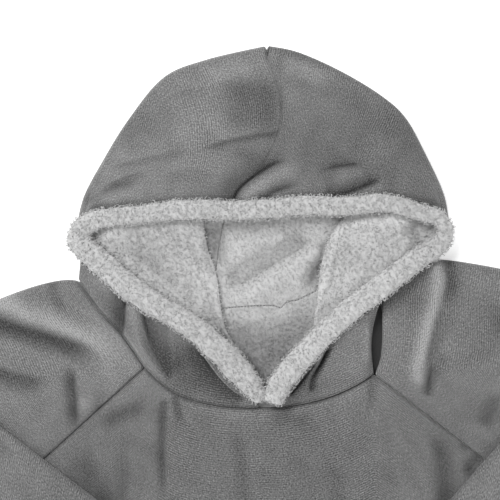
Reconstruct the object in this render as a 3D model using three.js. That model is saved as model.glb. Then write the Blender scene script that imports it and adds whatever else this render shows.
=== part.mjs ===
// A wearable blanket hoodie laid on its back, with the hood spread open and both sleeves folded across the front.
// Millimetres. +Z is up from the surface that it lies on, +Y runs from the hem to the crown of the hood, and X and
// Y are zero in the middle of its outline. Left and right are the viewer's, looking down on the front.
import * as THREE from "three";

// Driving sizes
const LENGTH = 1090; // crown of the hood to the hem
const HEM_HALF = 385; // half the width at the hem
const WALL = 5; // body cloth: smooth fleece and pile lining sewn as one
const FLEECE = 2.5; // the hood's outer fleece
const PILE = 4.5; // the hood's pile lining
const GAP = 0.3; // between pieces at a seam
const SEAM_STEP = 0.5; // how far a panel's edge lies from its neighbour's
const EDGE_TOP = 10.3 + GAP; // top of the two walls where they meet at a side
const BODY_TOP = 16; // top of the front where the air in it lifts it
const TUBE_HALF = 6; // half the thickness of a flattened sleeve
const FOLD_HALF = 370; // half the width across the two sleeve folds
const EDGE_ROUND = 9; // how far in a sleeve's folded edge is rounded
const HOOD_FOLD = 8.5; // radius of the hood's outline fold
const RIM_HEIGHT = 13; // thickness of the pile band
const NECK_TOP = 15; // top of the neck seam at the front
const FLOOR_TOP = FLEECE + GAP + PILE; // inside face of the hood's back
const LAYER_BASE = 8.2; // what lies on the hood's back starts here

const CROWN_Y = LENGTH / 2;
const HEM_Y = -LENGTH / 2;

const FLEECE_GREY = 0x7d7d7d;
const PILE_GREY = 0xc4c4c4;

// The hood's ribs, from its corner to the centre seam. Each runs from the edge at the pile band over the top to the
// outline fold, and back underneath to the neck seam. lean bends it towards the centre seam's path.
const RIBS_LEFT = [
  { rim: [-175, 357, 17], fold: [-187, 358], neck: [-178, 306], lean: 0 },
  { rim: [-170, 381, 23], fold: [-179, 393], neck: [-169, 301], lean: 0 },
  { rim: [-145, 383, 30], fold: [-159.5, 430], neck: [-156, 295.5], lean: 0 },
  { rim: [-115, 386, 32], fold: [-134, 471], neck: [-134, 289], lean: 0 },
  { rim: [-86, 389.6, 33], fold: [-99, 513], neck: [-107, 284], lean: 0.27 },
  { rim: [-58, 390.6, 33], fold: [-56, 531], neck: [-72, 281], lean: 0.67 },
  { rim: [-29.4, 389.4, 33], fold: [4.8, CROWN_Y], neck: [-37.2, 281], lean: 1 },
];
const RIBS_RIGHT = [
  { rim: [-28.8, 389.4, 33], fold: [5.4, CROWN_Y], neck: [-36.6, 281], lean: 1 },
  { rim: [4, 390.7, 33], fold: [38, 538], neck: [-6, 284.5], lean: 0.67 },
  { rim: [44, 394.4, 33], fold: [82, 518], neck: [24, 286], lean: 0.27 },
  { rim: [78, 393.4, 33], fold: [121, 494], neck: [50, 297], lean: 0 },
  { rim: [114, 396, 32], fold: [144.5, 472], neck: [75, 310], lean: 0 },
  { rim: [148, 392, 30], fold: [164, 436.5], neck: [100, 317], lean: 0 },
  { rim: [175, 385, 23], fold: [182.5, 396], neck: [118, 321], lean: 0 },
  { rim: [176, 362, 17], fold: [188, 364], neck: [128.5, 325], lean: 0 },
];
const TOP_BOW = 30; // how far the centre seam bows to the right over the top
const UNDER_BEND = [-46, -85]; // and to the left on its way down the back

// The pile band's path from the centre join round the corner to the point of the neck, with half its width.
const BAND_LEFT = [
  { at: [-30, 379, 34], half: 9 },
  { at: [-57, 380, 34], half: 9.5 },
  { at: [-86, 379, 34], half: 9.5 },
  { at: [-114, 375.5, 33], half: 9 },
  { at: [-143, 373, 31], half: 8.8 },
  { at: [-165, 369.5, 28.5], half: 9 },
  { at: [-179, 361, 26], half: 10 },
  { at: [-182.5, 350, 25.5], half: 11 },
  { at: [-172, 338, 26.5], half: 11.5 },
  { at: [-157.5, 325.5, 28], half: 12 },
  { at: [-131, 303, 30], half: 12 },
  { at: [-102, 283.5, 30], half: 11.5 },
  { at: [-74, 267, 30], half: 11.5 },
  { at: [-42, 240.5, 28], half: 12.5 },
  { at: [-18, 214.5, 23], half: 12 },
  { at: [-2.5, 197.5, 17.8], half: 9.5 },
];
const BAND_RIGHT = [
  { at: [-28, 379, 34], half: 9 },
  { at: [3, 380.5, 34], half: 9.2 },
  { at: [44, 384.2, 34], half: 9.2 },
  { at: [78, 383.2, 34], half: 9 },
  { at: [122, 386, 33.5], half: 8.8 },
  { at: [152, 379, 31], half: 9.5 },
  { at: [173, 371, 28], half: 10 },
  { at: [181, 357.5, 26], half: 11 },
  { at: [171, 343, 27], half: 11.5 },
  { at: [149, 328, 29], half: 12 },
  { at: [117, 302, 30.5], half: 12 },
  { at: [85.7, 277.6, 31], half: 12 },
  { at: [56, 250, 31], half: 12 },
  { at: [32.7, 226.2, 31.5], half: 12 },
  { at: [16, 206, 32], half: 11.5 },
  { at: [7.5, 191.5, 31.5], half: 10 },
];

// The hood's lower sides: the neck seam below each band, and where along the band each row meets it. hang is how far
// the cloth sags between the two, and roll the fold that stands along the seam.
const SIDE_LEFT = [
  { neck: [-181, 309, 9], along: 0.53, hang: 0, roll: 0 },
  { neck: [-174, 296, 12], along: 0.567, hang: 0, roll: 1 },
  { neck: [-158, 274, NECK_TOP], along: 0.618, hang: 2, roll: 3 },
  { neck: [-142, 257.5, NECK_TOP], along: 0.654, hang: 4, roll: 6 },
  { neck: [-129, 240, NECK_TOP], along: 0.69, hang: 5, roll: 7 },
  { neck: [-117, 222.5, NECK_TOP], along: 0.732, hang: 7, roll: 7 },
  { neck: [-102, 208, NECK_TOP], along: 0.772, hang: 9, roll: 7 },
  { neck: [-86, 196.5, NECK_TOP], along: 0.812, hang: 9, roll: 6 },
  { neck: [-64, 188.5, NECK_TOP], along: 0.855, hang: 8, roll: 4 },
  { neck: [-42, 184, NECK_TOP], along: 0.9, hang: 6, roll: 2 },
  { neck: [-23, 182.5, NECK_TOP], along: 0.945, hang: 3, roll: 0 },
  { neck: [-9, 182, NECK_TOP], along: 0.975, hang: 0, roll: 0 },
  { neck: [-1, 183, NECK_TOP], along: 1, hang: 0, roll: 0 },
];
const SIDE_RIGHT = [
  { neck: [8, 183, NECK_TOP], along: 1, hang: 0, roll: 0 },
  { neck: [17, 182.3, NECK_TOP], along: 0.965, hang: 0, roll: 0 },
  { neck: [32, 184.5, NECK_TOP], along: 0.925, hang: 3, roll: 1 },
  { neck: [48, 187.5, NECK_TOP], along: 0.87, hang: 4, roll: 3 },
  { neck: [63, 191.5, NECK_TOP], along: 0.82, hang: 4, roll: 4 },
  { neck: [78, 197, NECK_TOP], along: 0.786, hang: 3, roll: 5 },
  { neck: [92, 203.5, NECK_TOP], along: 0.76, hang: 2, roll: 6 },
  { neck: [103, 210, NECK_TOP], along: 0.735, hang: 1, roll: 6 },
  { neck: [109, 214, 13], along: 0.708, hang: 2, roll: 4 },
  { neck: [111.8, 215.6, 11], along: 0.68, hang: 8, roll: 1 },
];

// The lining's two side walls fold over on the hood's back. Each row goes across one: outer lies under the band and
// edge is the fold that shows. start is the share of the way where it begins to rise.
const FOLD_LEFT = [
  { y: 374, outer: -168, edge: -59, crown: 19, start: 0.1 },
  { y: 358, outer: -170, edge: -57.5, crown: 22, start: 0.12 },
  { y: 340, outer: -164, edge: -55, crown: 24, start: 0.1 },
  { y: 324, outer: -152, edge: -49, crown: 25.5, start: 0.05 },
  { y: 308, outer: -132, edge: -45, crown: 26, start: 0.05 },
  { y: 292, outer: -110, edge: -42.5, crown: 25.5, start: 0.05 },
  { y: 276, outer: -86, edge: -40, crown: 23.5, start: 0.1 },
  { y: 260, outer: -64, edge: -36, crown: 20, start: 0.15 },
  { y: 246, outer: -48, edge: -28, crown: 16, start: 0.2 },
];
const FOLD_RIGHT = [
  { y: 376, outer: 168, edge: 85, crown: 21, start: 0.2 },
  { y: 360, outer: 172, edge: 72, crown: 27, start: 0.27 },
  { y: 346, outer: 168, edge: 65, crown: 29, start: 0.22 },
  { y: 332, outer: 148, edge: 61, crown: 30, start: 0.1 },
  { y: 318, outer: 122, edge: 58, crown: 30, start: 0.05 },
  { y: 304, outer: 114, edge: 56.5, crown: 29, start: 0.05 },
  { y: 290, outer: 97, edge: 55, crown: 27, start: 0.1 },
  { y: 277, outer: 82, edge: 51, crown: 23, start: 0.15 },
  { y: 264, outer: 68, edge: 44, crown: 18, start: 0.2 },
];

// Each sleeve's cut as it lies: underarm, front and back neck corners, the folded edge, and the cuff's two corners.
// arch lifts the shoulder's edge, most of all near the neck.
const SLEEVE_LEFT = {
  underarm: [-350, 11],
  frontSeam: [[-117.8, 221.8], [-129.8, 239.3], [-142.8, 256.8], [-158.8, 273.3], [-174.8, 295.3]],
  backSeam: [[-134.6, 288], [-156.6, 294.4], [-169.5, 299.8]],
  shoulder: [-181.5, 304.5],
  foldArm: [-370, 6],
  foldShoulder: [-366, 244],
  cuffArm: [-106, -109],
  cuffShoulder: [-31, -9],
  arch: 41,
};
const SLEEVE_RIGHT = {
  underarm: [350, 34],
  frontSeam: [[113.2, 214.6], [119, 232], [120.5, 250], [120.5, 286]],
  backSeam: [[100.5, 315.8], [118.5, 319.8]],
  shoulder: [130.5, 323.5],
  foldArm: [370, 30],
  foldShoulder: [364, 291.5],
  cuffArm: [180, -106],
  cuffShoulder: [86, -23],
  arch: 40,
};

// Creases: a soft trough or ridge from one place to another. rise is its height, half its half width and bow how
// far its middle stands to the left of the straight line.
const BODY_CREASES = [
  { from: [-97, 200], to: [-101, 95], rise: -3.5, half: 8, bow: 0 },
  { from: [-82, 197], to: [-78, 145], rise: -2, half: 6, bow: 0 },
  { from: [-137, 175], to: [-138, 75], rise: -4, half: 10, bow: 0 },
  { from: [-165, 163], to: [-105, 190], rise: -2.5, half: 9, bow: 0 },
  { from: [171, 172], to: [181, 95], rise: -4, half: 9, bow: 0 },
  { from: [-215, -130], to: [-170, -480], rise: -4, half: 24, bow: 14 },
  { from: [50, -120], to: [92, -440], rise: -3.5, half: 26, bow: -10 },
  { from: [232, -90], to: [262, -430], rise: -4, half: 22, bow: 12 },
  { from: [-60, -150], to: [-70, -505], rise: 4, half: 30, bow: 10 },
  { from: [165, -150], to: [180, -470], rise: 3.5, half: 28, bow: 0 },
  { from: [-300, -60], to: [-285, -330], rise: -3, half: 18, bow: -8 },
  { from: [-310, 272], to: [-166, 236], rise: -6, half: 11, bow: -5 },
  { from: [-290, 290], to: [-140, 228], rise: 3, half: 14, bow: 8 },
  { from: [-187, 228], to: [-187, 160], rise: -4.5, half: 8, bow: 0 },
  { from: [-209, 308], to: [-198, 275], rise: -2, half: 6, bow: 0 },
  { from: [168, 345], to: [156, 185], rise: 8, half: 9, bow: -10 },
  { from: [188, 325], to: [176, 210], rise: -4, half: 8, bow: -6 },
  { from: [222, 210], to: [232, 155], rise: -3, half: 12, bow: 0 },
];
const HOOD_CREASES = [
  { from: [-160, 420], to: [22, 461], rise: -2, half: 5, bow: 0 },
  { from: [-45, 375], to: [34, 431], rise: -7, half: 7, bow: 7 },
  { from: [-14, 385], to: [50, 408], rise: -5, half: 6, bow: 3 },
  { from: [-22, 388], to: [30, 421], rise: 3.5, half: 6, bow: 0 },
  { from: [54, 416], to: [108, 428], rise: -3, half: 6, bow: 2 },
  { from: [56, 386], to: [128, 414], rise: -6, half: 7, bow: -4 },
  { from: [-182, 372], to: [-158, 396], rise: -4, half: 6, bow: 0 },
];
const FLOOR_CREASES = [
  { from: [-36, 293], to: [50, 342], rise: 5.5, half: 12, bow: -4 },
  { from: [-46, 306], to: [60, 364], rise: -1.6, half: 8, bow: -4 },
];
const NECK_CREASES = [
  { from: [-44, 268], to: [44, 275], rise: 2.6, half: 9, bow: 0 },
];

const mix = (a, b, t) => a + (b - a) * t;
const clamp = (v, lo, hi) => Math.min(Math.max(v, lo), hi);
const spread = (count) => Array.from({ length: count + 1 }, (_, i) => i / count);
const between = (a, b, t) => a.map((v, i) => mix(v, b[i], t));

function ease(lo, hi, v) {
  const t = clamp((v - lo) / (hi - lo), 0, 1);
  return t * t * (3 - 2 * t);
}

// A table's columns at a share of the way down it, on smooth curves through its rows.
function along(rows, share) {
  const last = rows.length - 1;
  const place = clamp(share, 0, 1) * last;
  const i = Math.min(Math.floor(place), last - 1);
  const f = place - i;
  const near = [-1, 0, 1, 2].map((k) => rows[clamp(i + k, 0, last)]);
  const curve = (a, b, c, d) =>
    b + 0.5 * f * (c - a + f * (2 * a - 5 * b + 4 * c - d + f * (3 * (b - c) + d - a)));
  const row = {};
  for (const key of Object.keys(rows[0])) {
    const [a, b, c, d] = near.map((r) => r[key]);
    row[key] = Array.isArray(a) ? a.map((_, n) => curve(a[n], b[n], c[n], d[n])) : curve(a, b, c, d);
  }
  return row;
}

// A point at a share of the length of a line of straight pieces.
function onLine(points, share) {
  const lengths = points.slice(1).map((p, i) => Math.hypot(p[0] - points[i][0], p[1] - points[i][1]));
  let left = share * lengths.reduce((a, b) => a + b, 0);
  for (let i = 0; i < lengths.length; i++) {
    if (left <= lengths[i] || i === lengths.length - 1) return between(points[i], points[i + 1], left / lengths[i]);
    left -= lengths[i];
  }
}

// The height that a list of creases adds at a place.
function relief(creases, x, y) {
  let height = 0;
  for (const { from, to, rise, half, bow } of creases) {
    const [dx, dy] = [to[0] - from[0], to[1] - from[1]];
    const length = Math.hypot(dx, dy);
    const t = ((x - from[0]) * dx + (y - from[1]) * dy) / (length * length);
    if (t <= 0 || t >= 1) continue;
    const off = ((y - from[1]) * dx - (x - from[0]) * dy) / length - bow * 4 * t * (1 - t);
    height += rise * Math.sin(Math.PI * t) * Math.exp(-((off / half) ** 2));
  }
  return height;
}

// The top of the front and of the upper arms, without their creases and with them.
function loft(x, y, half, edge) {
  const wave = 1.8 * Math.sin(x / 95 + 1.3) * Math.cos(y / 130 + 0.4) + Math.sin(x / 47 - y / 88);
  const inside = ease(0, 55, half - Math.abs(x)) * ease(0, 45, y - HEM_Y);
  return { base: edge, lift: BODY_TOP - edge + wave, inside };
}
function smoothTop(x, y, half, edge) {
  const { base, lift, inside } = loft(x, y, half, edge);
  return base + lift * inside;
}
function bodyTop(x, y, half, edge) {
  const { base, lift, inside } = loft(x, y, half, edge);
  return Math.max(EDGE_TOP, base + (lift + relief(BODY_CREASES, x, y)) * inside);
}

// Geometry of a closed mesh, turned so that its faces point out.
function solid(points, faces) {
  let volume = 0;
  const [a, b, c] = [new THREE.Vector3(), new THREE.Vector3(), new THREE.Vector3()];
  for (const [i, j, k] of faces) volume += a.set(...points[i]).dot(b.set(...points[j]).cross(c.set(...points[k])));
  const index = faces.flatMap(([i, j, k]) => (volume < 0 ? [i, k, j] : [i, j, k]));
  const geometry = new THREE.BufferGeometry();
  geometry.setAttribute("position", new THREE.Float32BufferAttribute(points.flat(), 3));
  geometry.setIndex(index);
  geometry.computeVertexNormals();
  return geometry;
}

// A wall between two like grids of points. With ring, each row closes on itself, as round a sleeve.
function wall(outer, inner, ring = false) {
  const [rows, cols] = [outer.length, outer[0].length];
  const at = (layer, i, j) => (layer * rows + i) * cols + (j % cols);
  const faces = [];
  const quad = (a, b, c, d) => faces.push([a, b, c], [a, c, d]);
  const steps = ring ? cols : cols - 1;
  for (let i = 0; i < rows - 1; i++) {
    for (let j = 0; j < steps; j++) {
      quad(at(0, i, j), at(0, i, j + 1), at(0, i + 1, j + 1), at(0, i + 1, j));
      quad(at(1, i, j), at(1, i + 1, j), at(1, i + 1, j + 1), at(1, i, j + 1));
    }
  }
  for (let j = 0; j < steps; j++) {
    quad(at(0, 0, j + 1), at(0, 0, j), at(1, 0, j), at(1, 0, j + 1));
    quad(at(0, rows - 1, j), at(0, rows - 1, j + 1), at(1, rows - 1, j + 1), at(1, rows - 1, j));
  }
  if (!ring) {
    for (let i = 0; i < rows - 1; i++) {
      quad(at(0, i, 0), at(0, i + 1, 0), at(1, i + 1, 0), at(1, i, 0));
      quad(at(0, i + 1, cols - 1), at(0, i, cols - 1), at(1, i, cols - 1), at(1, i + 1, cols - 1));
    }
  }
  return solid([...outer.flat(), ...inner.flat()], faces);
}

// A solid through closed rings of points, with a flat cap at each end.
function capped(rings) {
  const cols = rings[0].length;
  const points = rings.flat();
  const faces = [];
  for (let i = 0; i < rings.length - 1; i++) {
    for (let j = 0; j < cols; j++) {
      const [a, b] = [i * cols + j, i * cols + ((j + 1) % cols)];
      faces.push([a, b, b + cols], [a, b + cols, a + cols]);
    }
  }
  for (const [ring, turn] of [[0, 1], [rings.length - 1, 0]]) {
    const centre = points.push(rings[ring].reduce((s, p) => s.map((v, n) => v + p[n] / cols), [0, 0, 0])) - 1;
    for (let j = 0; j < cols; j++) {
      const [a, b] = [ring * cols + j, ring * cols + ((j + 1) % cols)];
      faces.push(turn ? [b, a, centre] : [a, b, centre]);
    }
  }
  return solid(points, faces);
}

// A grid moved along its own normals, by a distance that may change from place to place. The row at the centre seam
// takes its normals as if the cloth ran level through the seam, so that the two sides stay apart there.
function moved(grid, seam, distance) {
  const pick = (i, j) => new THREE.Vector3(...grid[clamp(i, 0, grid.length - 1)][clamp(j, 0, grid[0].length - 1)]);
  return grid.map((row, i) =>
    row.map((point, j) => {
      const across = pick(i, j + 1).sub(pick(i, j - 1));
      const down = i === seam ? new THREE.Vector3(1, 0, 0) : pick(i + 1, j).sub(pick(i - 1, j));
      const normal = down.cross(across).normalize();
      return normal.multiplyScalar(distance(point, i, j)).add(new THREE.Vector3(...point)).toArray();
    }),
  );
}

// One rib of the hood's outer face, from the band over the top, round the outline fold and back to the neck.
const TOP_STEPS = 10;
const ARC_STEPS = 6;
const UNDER_STEPS = 5;
function hoodRib({ rim, fold, neck, lean }) {
  const reach = Math.hypot(fold[0] - rim[0], fold[1] - rim[1]);
  const inner = between(fold, rim, HOOD_FOLD / reach);
  const points = spread(TOP_STEPS).map((a) => {
    const x = mix(rim[0], inner[0], a) + TOP_BOW * lean * Math.sin(Math.PI * a);
    const y = mix(rim[1], inner[1], a);
    const height = mix(2 * HOOD_FOLD, rim[2], 1 - a ** 2.2);
    const fade = ease(0, 18, (1 - a) * reach);
    return [x, y, height + relief(HOOD_CREASES, x, y) * fade];
  });
  for (const a of spread(ARC_STEPS).slice(1)) {
    const [out, up] = [Math.sin(Math.PI * a), Math.cos(Math.PI * a)];
    points.push([...between(inner, fold, out), HOOD_FOLD * (1 + up)]);
  }
  const bend = [0, 1].map((n) => (inner[n] + neck[n]) / 2 + lean * UNDER_BEND[n]);
  for (const b of spread(UNDER_STEPS).slice(1)) {
    points.push([...between(between(inner, bend, b), between(bend, neck, b), b), 0]);
  }
  return points;
}

// One side of the hood: the outer fleece, and the pile lining inside it.
function hoodSide(ribs, centre) {
  const columns = (ribs.length - 1) * 2;
  const face = spread(columns).map((share) => hoodRib(along(ribs, share)));
  const under = TOP_STEPS + ARC_STEPS;
  const seam = centre === "last" ? columns : 0;
  const inside = (depth) => moved(face, seam, () => -depth);
  const lining = moved(face, seam, ([x, y], i, j) => {
    const crease = j > under ? Math.max(relief(FLOOR_CREASES, x, y), -1) : 0;
    return -FLOOR_TOP - crease;
  });
  return { fleece: wall(face, inside(FLEECE)), lining: wall(inside(FLEECE + GAP), lining) };
}

// The pile band: a soft roll along its path.
const BAND_SIDES = 10;
function bandRing({ at, half }, [nx, ny]) {
  return spread(BAND_SIDES).slice(1).map((a) => {
    const [c, s] = [Math.cos(2 * Math.PI * a), Math.sin(2 * Math.PI * a)];
    const across = Math.sign(c) * Math.abs(c) ** 0.8 * half;
    const up = (Math.sign(s) * Math.abs(s) ** 0.8 * RIM_HEIGHT) / 2;
    return [at[0] + nx * across, at[1] + ny * across, at[2] + up];
  });
}
function bandSide(rows, share) {
  const step = 0.004;
  const [a, b] = [along(rows, share - step).at, along(rows, share + step).at];
  const length = Math.hypot(b[0] - a[0], b[1] - a[1]);
  return [(b[1] - a[1]) / length, -(b[0] - a[0]) / length];
}
function band(rows) {
  const count = (rows.length - 1) * 2;
  return capped(spread(count).map((share) => bandRing(along(rows, share), bandSide(rows, share))));
}

// A lower side of the hood, from the neck seam up to the outside of the band.
function lowerSide(rows, bandRows, outward) {
  const face = rows.map(({ neck, along: meet, hang, roll }) => {
    const edge = along(bandRows, meet);
    const [nx, ny] = bandSide(bandRows, meet).map((v) => v * outward * (edge.half + SEAM_STEP));
    const top = [edge.at[0] + nx, edge.at[1] + ny, edge.at[2] - 1];
    return spread(8).map((a) => {
      const [x, y, z] = between(neck, top, a);
      return [x, y, z - hang * Math.sin(Math.PI * a ** 0.7) + roll * Math.exp(-(((a - 0.2) / 0.13) ** 2))];
    });
  });
  const under = face.map((row) => row.map(([x, y, z]) => [x, y, z - FLEECE - 1]));
  return wall(face, under);
}

// A side wall of the lining, folded over on the hood's back.
const FOLD_ACROSS = [0, 0.16, 0.32, 0.48, 0.64, 0.78, 0.88, 0.95, 0.985, 1];
function liningFold(rows) {
  const edgeHeight = 0.12;
  const face = rows.map(({ y, outer, edge, crown, start }) => {
    return FOLD_ACROSS.map((u) => {
      const rise = mix(0.3, 1, ease(start, start + 0.4, u));
      const drop = u < 0.8 ? 1 : Math.sqrt(1 - (1 - edgeHeight) * ((u - 0.8) / 0.2) ** 2);
      return [mix(outer, edge, u), y, LAYER_BASE + (crown - LAYER_BASE) * rise * drop];
    });
  });
  const under = face.map((row) => row.map(([x, y]) => [x, y, LAYER_BASE]));
  return wall(face, under);
}

// A sleeve: a flattened tube from its seams out to the fold at the body's side, and back over the front to the cuff.
const ARM_STEPS = 7;
const TURN_STEPS = 5;
const FOREARM_STEPS = 9;
const EDGE_MARKS = [3, 9];
function sleeve(cut) {
  const { underarm, frontSeam, backSeam, shoulder, foldArm, foldShoulder, cuffArm, cuffShoulder, arch } = cut;
  const raglan = spread(5).slice(1, -1);
  const seam = (corner) => [underarm, ...raglan.map((t) => between(underarm, corner[0], t)), ...corner, shoulder];
  const side = (points, facing) => {
    const total = points.slice(1).reduce((s, p, i) => s + Math.hypot(p[0] - points[i][0], p[1] - points[i][1]), 0);
    let run = 0;
    const shares = points.map((p, i) => {
      run += i ? Math.hypot(p[0] - points[i - 1][0], p[1] - points[i - 1][1]) / total : 0;
      return run;
    });
    const edges = EDGE_MARKS.flatMap((mark) => [mark / total, 1 - mark / total]);
    const all = [...new Set([...shares.map((v) => Math.min(v, 1)), ...edges])].sort((a, b) => a - b);
    return { points, facing, shares: all };
  };
  const [front, back] = [side(seam(frontSeam), 1), side(seam(backSeam), -1)];
  const outward = Math.sign(foldArm[0]);
  const level = (x, y) => smoothTop(x, y, FOLD_HALF, 2 * TUBE_HALF) + 1 + TUBE_HALF;

  const arm = (s) => (v, { points }) => {
    const [x, y] = between(onLine(points, v), between(foldArm, foldShoulder, v), s);
    const lifted = y + arch * Math.sqrt(s) * (1 - s) ** 1.2 * v ** 3;
    const top = bodyTop(x, lifted, FOLD_HALF, 2 * TUBE_HALF);
    return { mid: [x, lifted, TUBE_HALF], normal: [0, 0, 1], near: top - TUBE_HALF, far: TUBE_HALF };
  };
  const turn = (s) => (v) => {
    const [x, y] = between(foldArm, foldShoulder, v);
    const [out, up] = [Math.sin(Math.PI * s), Math.cos(Math.PI * s)];
    const radius = TUBE_HALF + SEAM_STEP;
    const mid = [x + outward * radius * out, y, TUBE_HALF + radius * (1 - up)];
    return { mid, normal: [-outward * out, 0, up], near: TUBE_HALF, far: TUBE_HALF };
  };
  const forearm = (s) => (v) => {
    const [x, y] = between(between(foldArm, cuffArm, s), between(foldShoulder, cuffShoulder, s), v);
    const puff = 3.5 * Math.sin(Math.PI * v) * ease(0, 0.15, s) * (1 + 0.4 * Math.sin(9 * s + 4 * v));
    return { mid: [x, y, level(x, y)], normal: [0, 0, -1], near: TUBE_HALF, far: TUBE_HALF + puff };
  };
  const sections = [
    ...spread(ARM_STEPS).map(arm),
    ...spread(TURN_STEPS).slice(1, -1).map(turn),
    ...spread(FOREARM_STEPS).map(forearm),
  ];

  const ring = (section, inset) => {
    const width = Math.hypot(...section(0, front).mid.map((v, n) => v - section(1, front).mid[n]));
    const place = (v, layer) => {
      const into = inset ? (WALL + SEAM_STEP) / width : 0;
      const at = section(mix(into, 1 - into, v), layer);
      const fromEdge = Math.min(v, 1 - v) * width;
      const round = fromEdge < EDGE_ROUND ? Math.sqrt(1 - (1 - fromEdge / EDGE_ROUND) ** 2) : 1;
      const height = (layer.facing > 0 ? at.near : at.far) - (inset ? WALL : 0);
      return at.mid.map((m, n) => m + at.normal[n] * layer.facing * height * round);
    };
    return [
      ...front.shares.map((v) => place(v, front)),
      ...back.shares.slice(1, -1).reverse().map((v) => place(v, back)),
    ];
  };
  return wall(sections.map((s) => ring(s, false)), sections.map((s) => ring(s, true)), true);
}

// The front: from the raglan and neck seams down to the hem.
const FRONT_ROWS = 18;
function frontTopEdge() {
  const neck = [...SIDE_LEFT.slice(5), ...SIDE_RIGHT.slice(0, 9)].map(({ neck: [x, y] }) => [x, y - SEAM_STEP]);
  neck.push([112.8, 214.1]);
  const seams = spread(8).slice(0, -1);
  return [
    ...seams.map((t) => between([-349.2, 10], neck[0], t)),
    ...neck,
    ...seams.map((t) => between(neck[neck.length - 1], [349.2, 33], t)).slice(1),
    [349.2, 33],
  ];
}
function front() {
  const top = frontTopEdge();
  const ends = [top[0][0], top[top.length - 1][0]];
  const face = spread(FRONT_ROWS).map((k) => {
    const down = k ** 1.6;
    return top.map(([x, y]) => {
      const hemX = mix(-HEM_HALF, HEM_HALF, (x - ends[0]) / (ends[1] - ends[0]));
      const [px, py] = between([x, y], [hemX, HEM_Y], down);
      const half = mix(ends[1], HEM_HALF, down);
      return [px, py, bodyTop(px, py, half, EDGE_TOP)];
    });
  });
  const under = face.map((row) => row.map(([x, y, z]) => [x, y, z - WALL]));
  return wall(face, under);
}

// A flat piece of cloth of a given outline.
function slab(outline, from, height) {
  const shape = new THREE.Shape(outline.map(([x, y]) => new THREE.Vector2(x, y)));
  return new THREE.ExtrudeGeometry(shape, { depth: height, bevelEnabled: false }).translate(0, 0, from);
}

// The nape seam as the hood's back meets it, from the left back raglan corner to the right one.
function napeSeam() {
  const left = spread(6).map((t) => along(RIBS_LEFT, mix(3 / 6, 1, t)).neck);
  const right = spread(10).map((t) => along(RIBS_RIGHT, mix(0, 5 / 7, t)).neck);
  return [...left, ...right].map(([x, y]) => [x, y - 2 * SEAM_STEP]);
}
function back() {
  return slab([[-349, 10], [-HEM_HALF, HEM_Y], [HEM_HALF, HEM_Y], [349, 33], ...napeSeam().reverse()], 0, WALL);
}

// The body's lining where it shows inside the neck.
function neckLining() {
  const seam = napeSeam().filter(([x]) => x > -112 && x < 102);
  const face = seam.map(([x, y]) => {
    const foot = [clamp(x, -104, 100), 176];
    return spread(7).map((t) => {
      const [px, py] = between([x, y - SEAM_STEP], foot, t);
      const shown = ease(46, 28, Math.abs(px - 4));
      return [px, py, WALL + FLEECE + relief(NECK_CREASES, px, py) * shown];
    });
  });
  const under = face.map((row) => row.map(([x, y]) => [x, y, WALL + GAP]));
  return wall(face, under);
}

const fleece = new THREE.MeshStandardMaterial({ color: FLEECE_GREY, roughness: 0.95, metalness: 0 });
const pile = new THREE.MeshStandardMaterial({ color: PILE_GREY, roughness: 1, metalness: 0 });
const hoodie = new THREE.Group();
function add(name, geometry, material) {
  const mesh = new THREE.Mesh(geometry, material);
  mesh.name = name;
  hoodie.add(mesh);
}

const [leftHood, rightHood] = [hoodSide(RIBS_LEFT, "last"), hoodSide(RIBS_RIGHT, "first")];
add("back", back(), fleece);
add("front", front(), fleece);
add("sleeve_left", sleeve(SLEEVE_LEFT), fleece);
add("sleeve_right", sleeve(SLEEVE_RIGHT), fleece);
add("hood_left", leftHood.fleece, fleece);
add("hood_right", rightHood.fleece, fleece);
add("hood_left_side", lowerSide(SIDE_LEFT, BAND_LEFT, 1), fleece);
add("hood_right_side", lowerSide(SIDE_RIGHT, BAND_RIGHT, -1), fleece);
add("lining_left", leftHood.lining, pile);
add("lining_right", rightHood.lining, pile);
add("lining_left_fold", liningFold(FOLD_LEFT), pile);
add("lining_right_fold", liningFold(FOLD_RIGHT), pile);
add("lining_neck", neckLining(), pile);
add("band_left", band(BAND_LEFT), pile);
add("band_right", band(BAND_RIGHT), pile);

export default hoodie;
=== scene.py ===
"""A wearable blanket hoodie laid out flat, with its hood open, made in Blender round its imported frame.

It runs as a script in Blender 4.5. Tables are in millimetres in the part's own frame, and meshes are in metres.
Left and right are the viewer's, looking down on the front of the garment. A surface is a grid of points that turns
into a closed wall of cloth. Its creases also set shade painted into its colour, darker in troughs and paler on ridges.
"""

import math

import bpy
import numpy as np
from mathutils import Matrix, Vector


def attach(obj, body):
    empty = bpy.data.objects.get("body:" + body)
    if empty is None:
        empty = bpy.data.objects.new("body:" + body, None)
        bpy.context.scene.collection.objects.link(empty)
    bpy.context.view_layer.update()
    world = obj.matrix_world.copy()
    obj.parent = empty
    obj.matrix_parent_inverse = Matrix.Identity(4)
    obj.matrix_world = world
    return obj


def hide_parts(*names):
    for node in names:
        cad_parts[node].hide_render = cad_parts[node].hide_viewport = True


bl_info = {
    "name": "Blanket Hoodie",
    "version": (1, 0, 0),
    "blender": (4, 5, 0),
    "location": "View3D > Sidebar > Hoodie",
    "description": "Builds a fleece blanket hoodie laid out flat, with its pile-lined hood open",
    "category": "Add Mesh",
}

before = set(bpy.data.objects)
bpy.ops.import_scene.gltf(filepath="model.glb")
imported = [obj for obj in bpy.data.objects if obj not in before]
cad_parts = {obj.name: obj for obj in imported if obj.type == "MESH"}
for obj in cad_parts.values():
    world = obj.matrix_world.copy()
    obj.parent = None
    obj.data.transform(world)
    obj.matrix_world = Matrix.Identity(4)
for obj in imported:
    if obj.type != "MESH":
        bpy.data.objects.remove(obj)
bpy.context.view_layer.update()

MM = 0.001
TAU = 2 * math.pi

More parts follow.
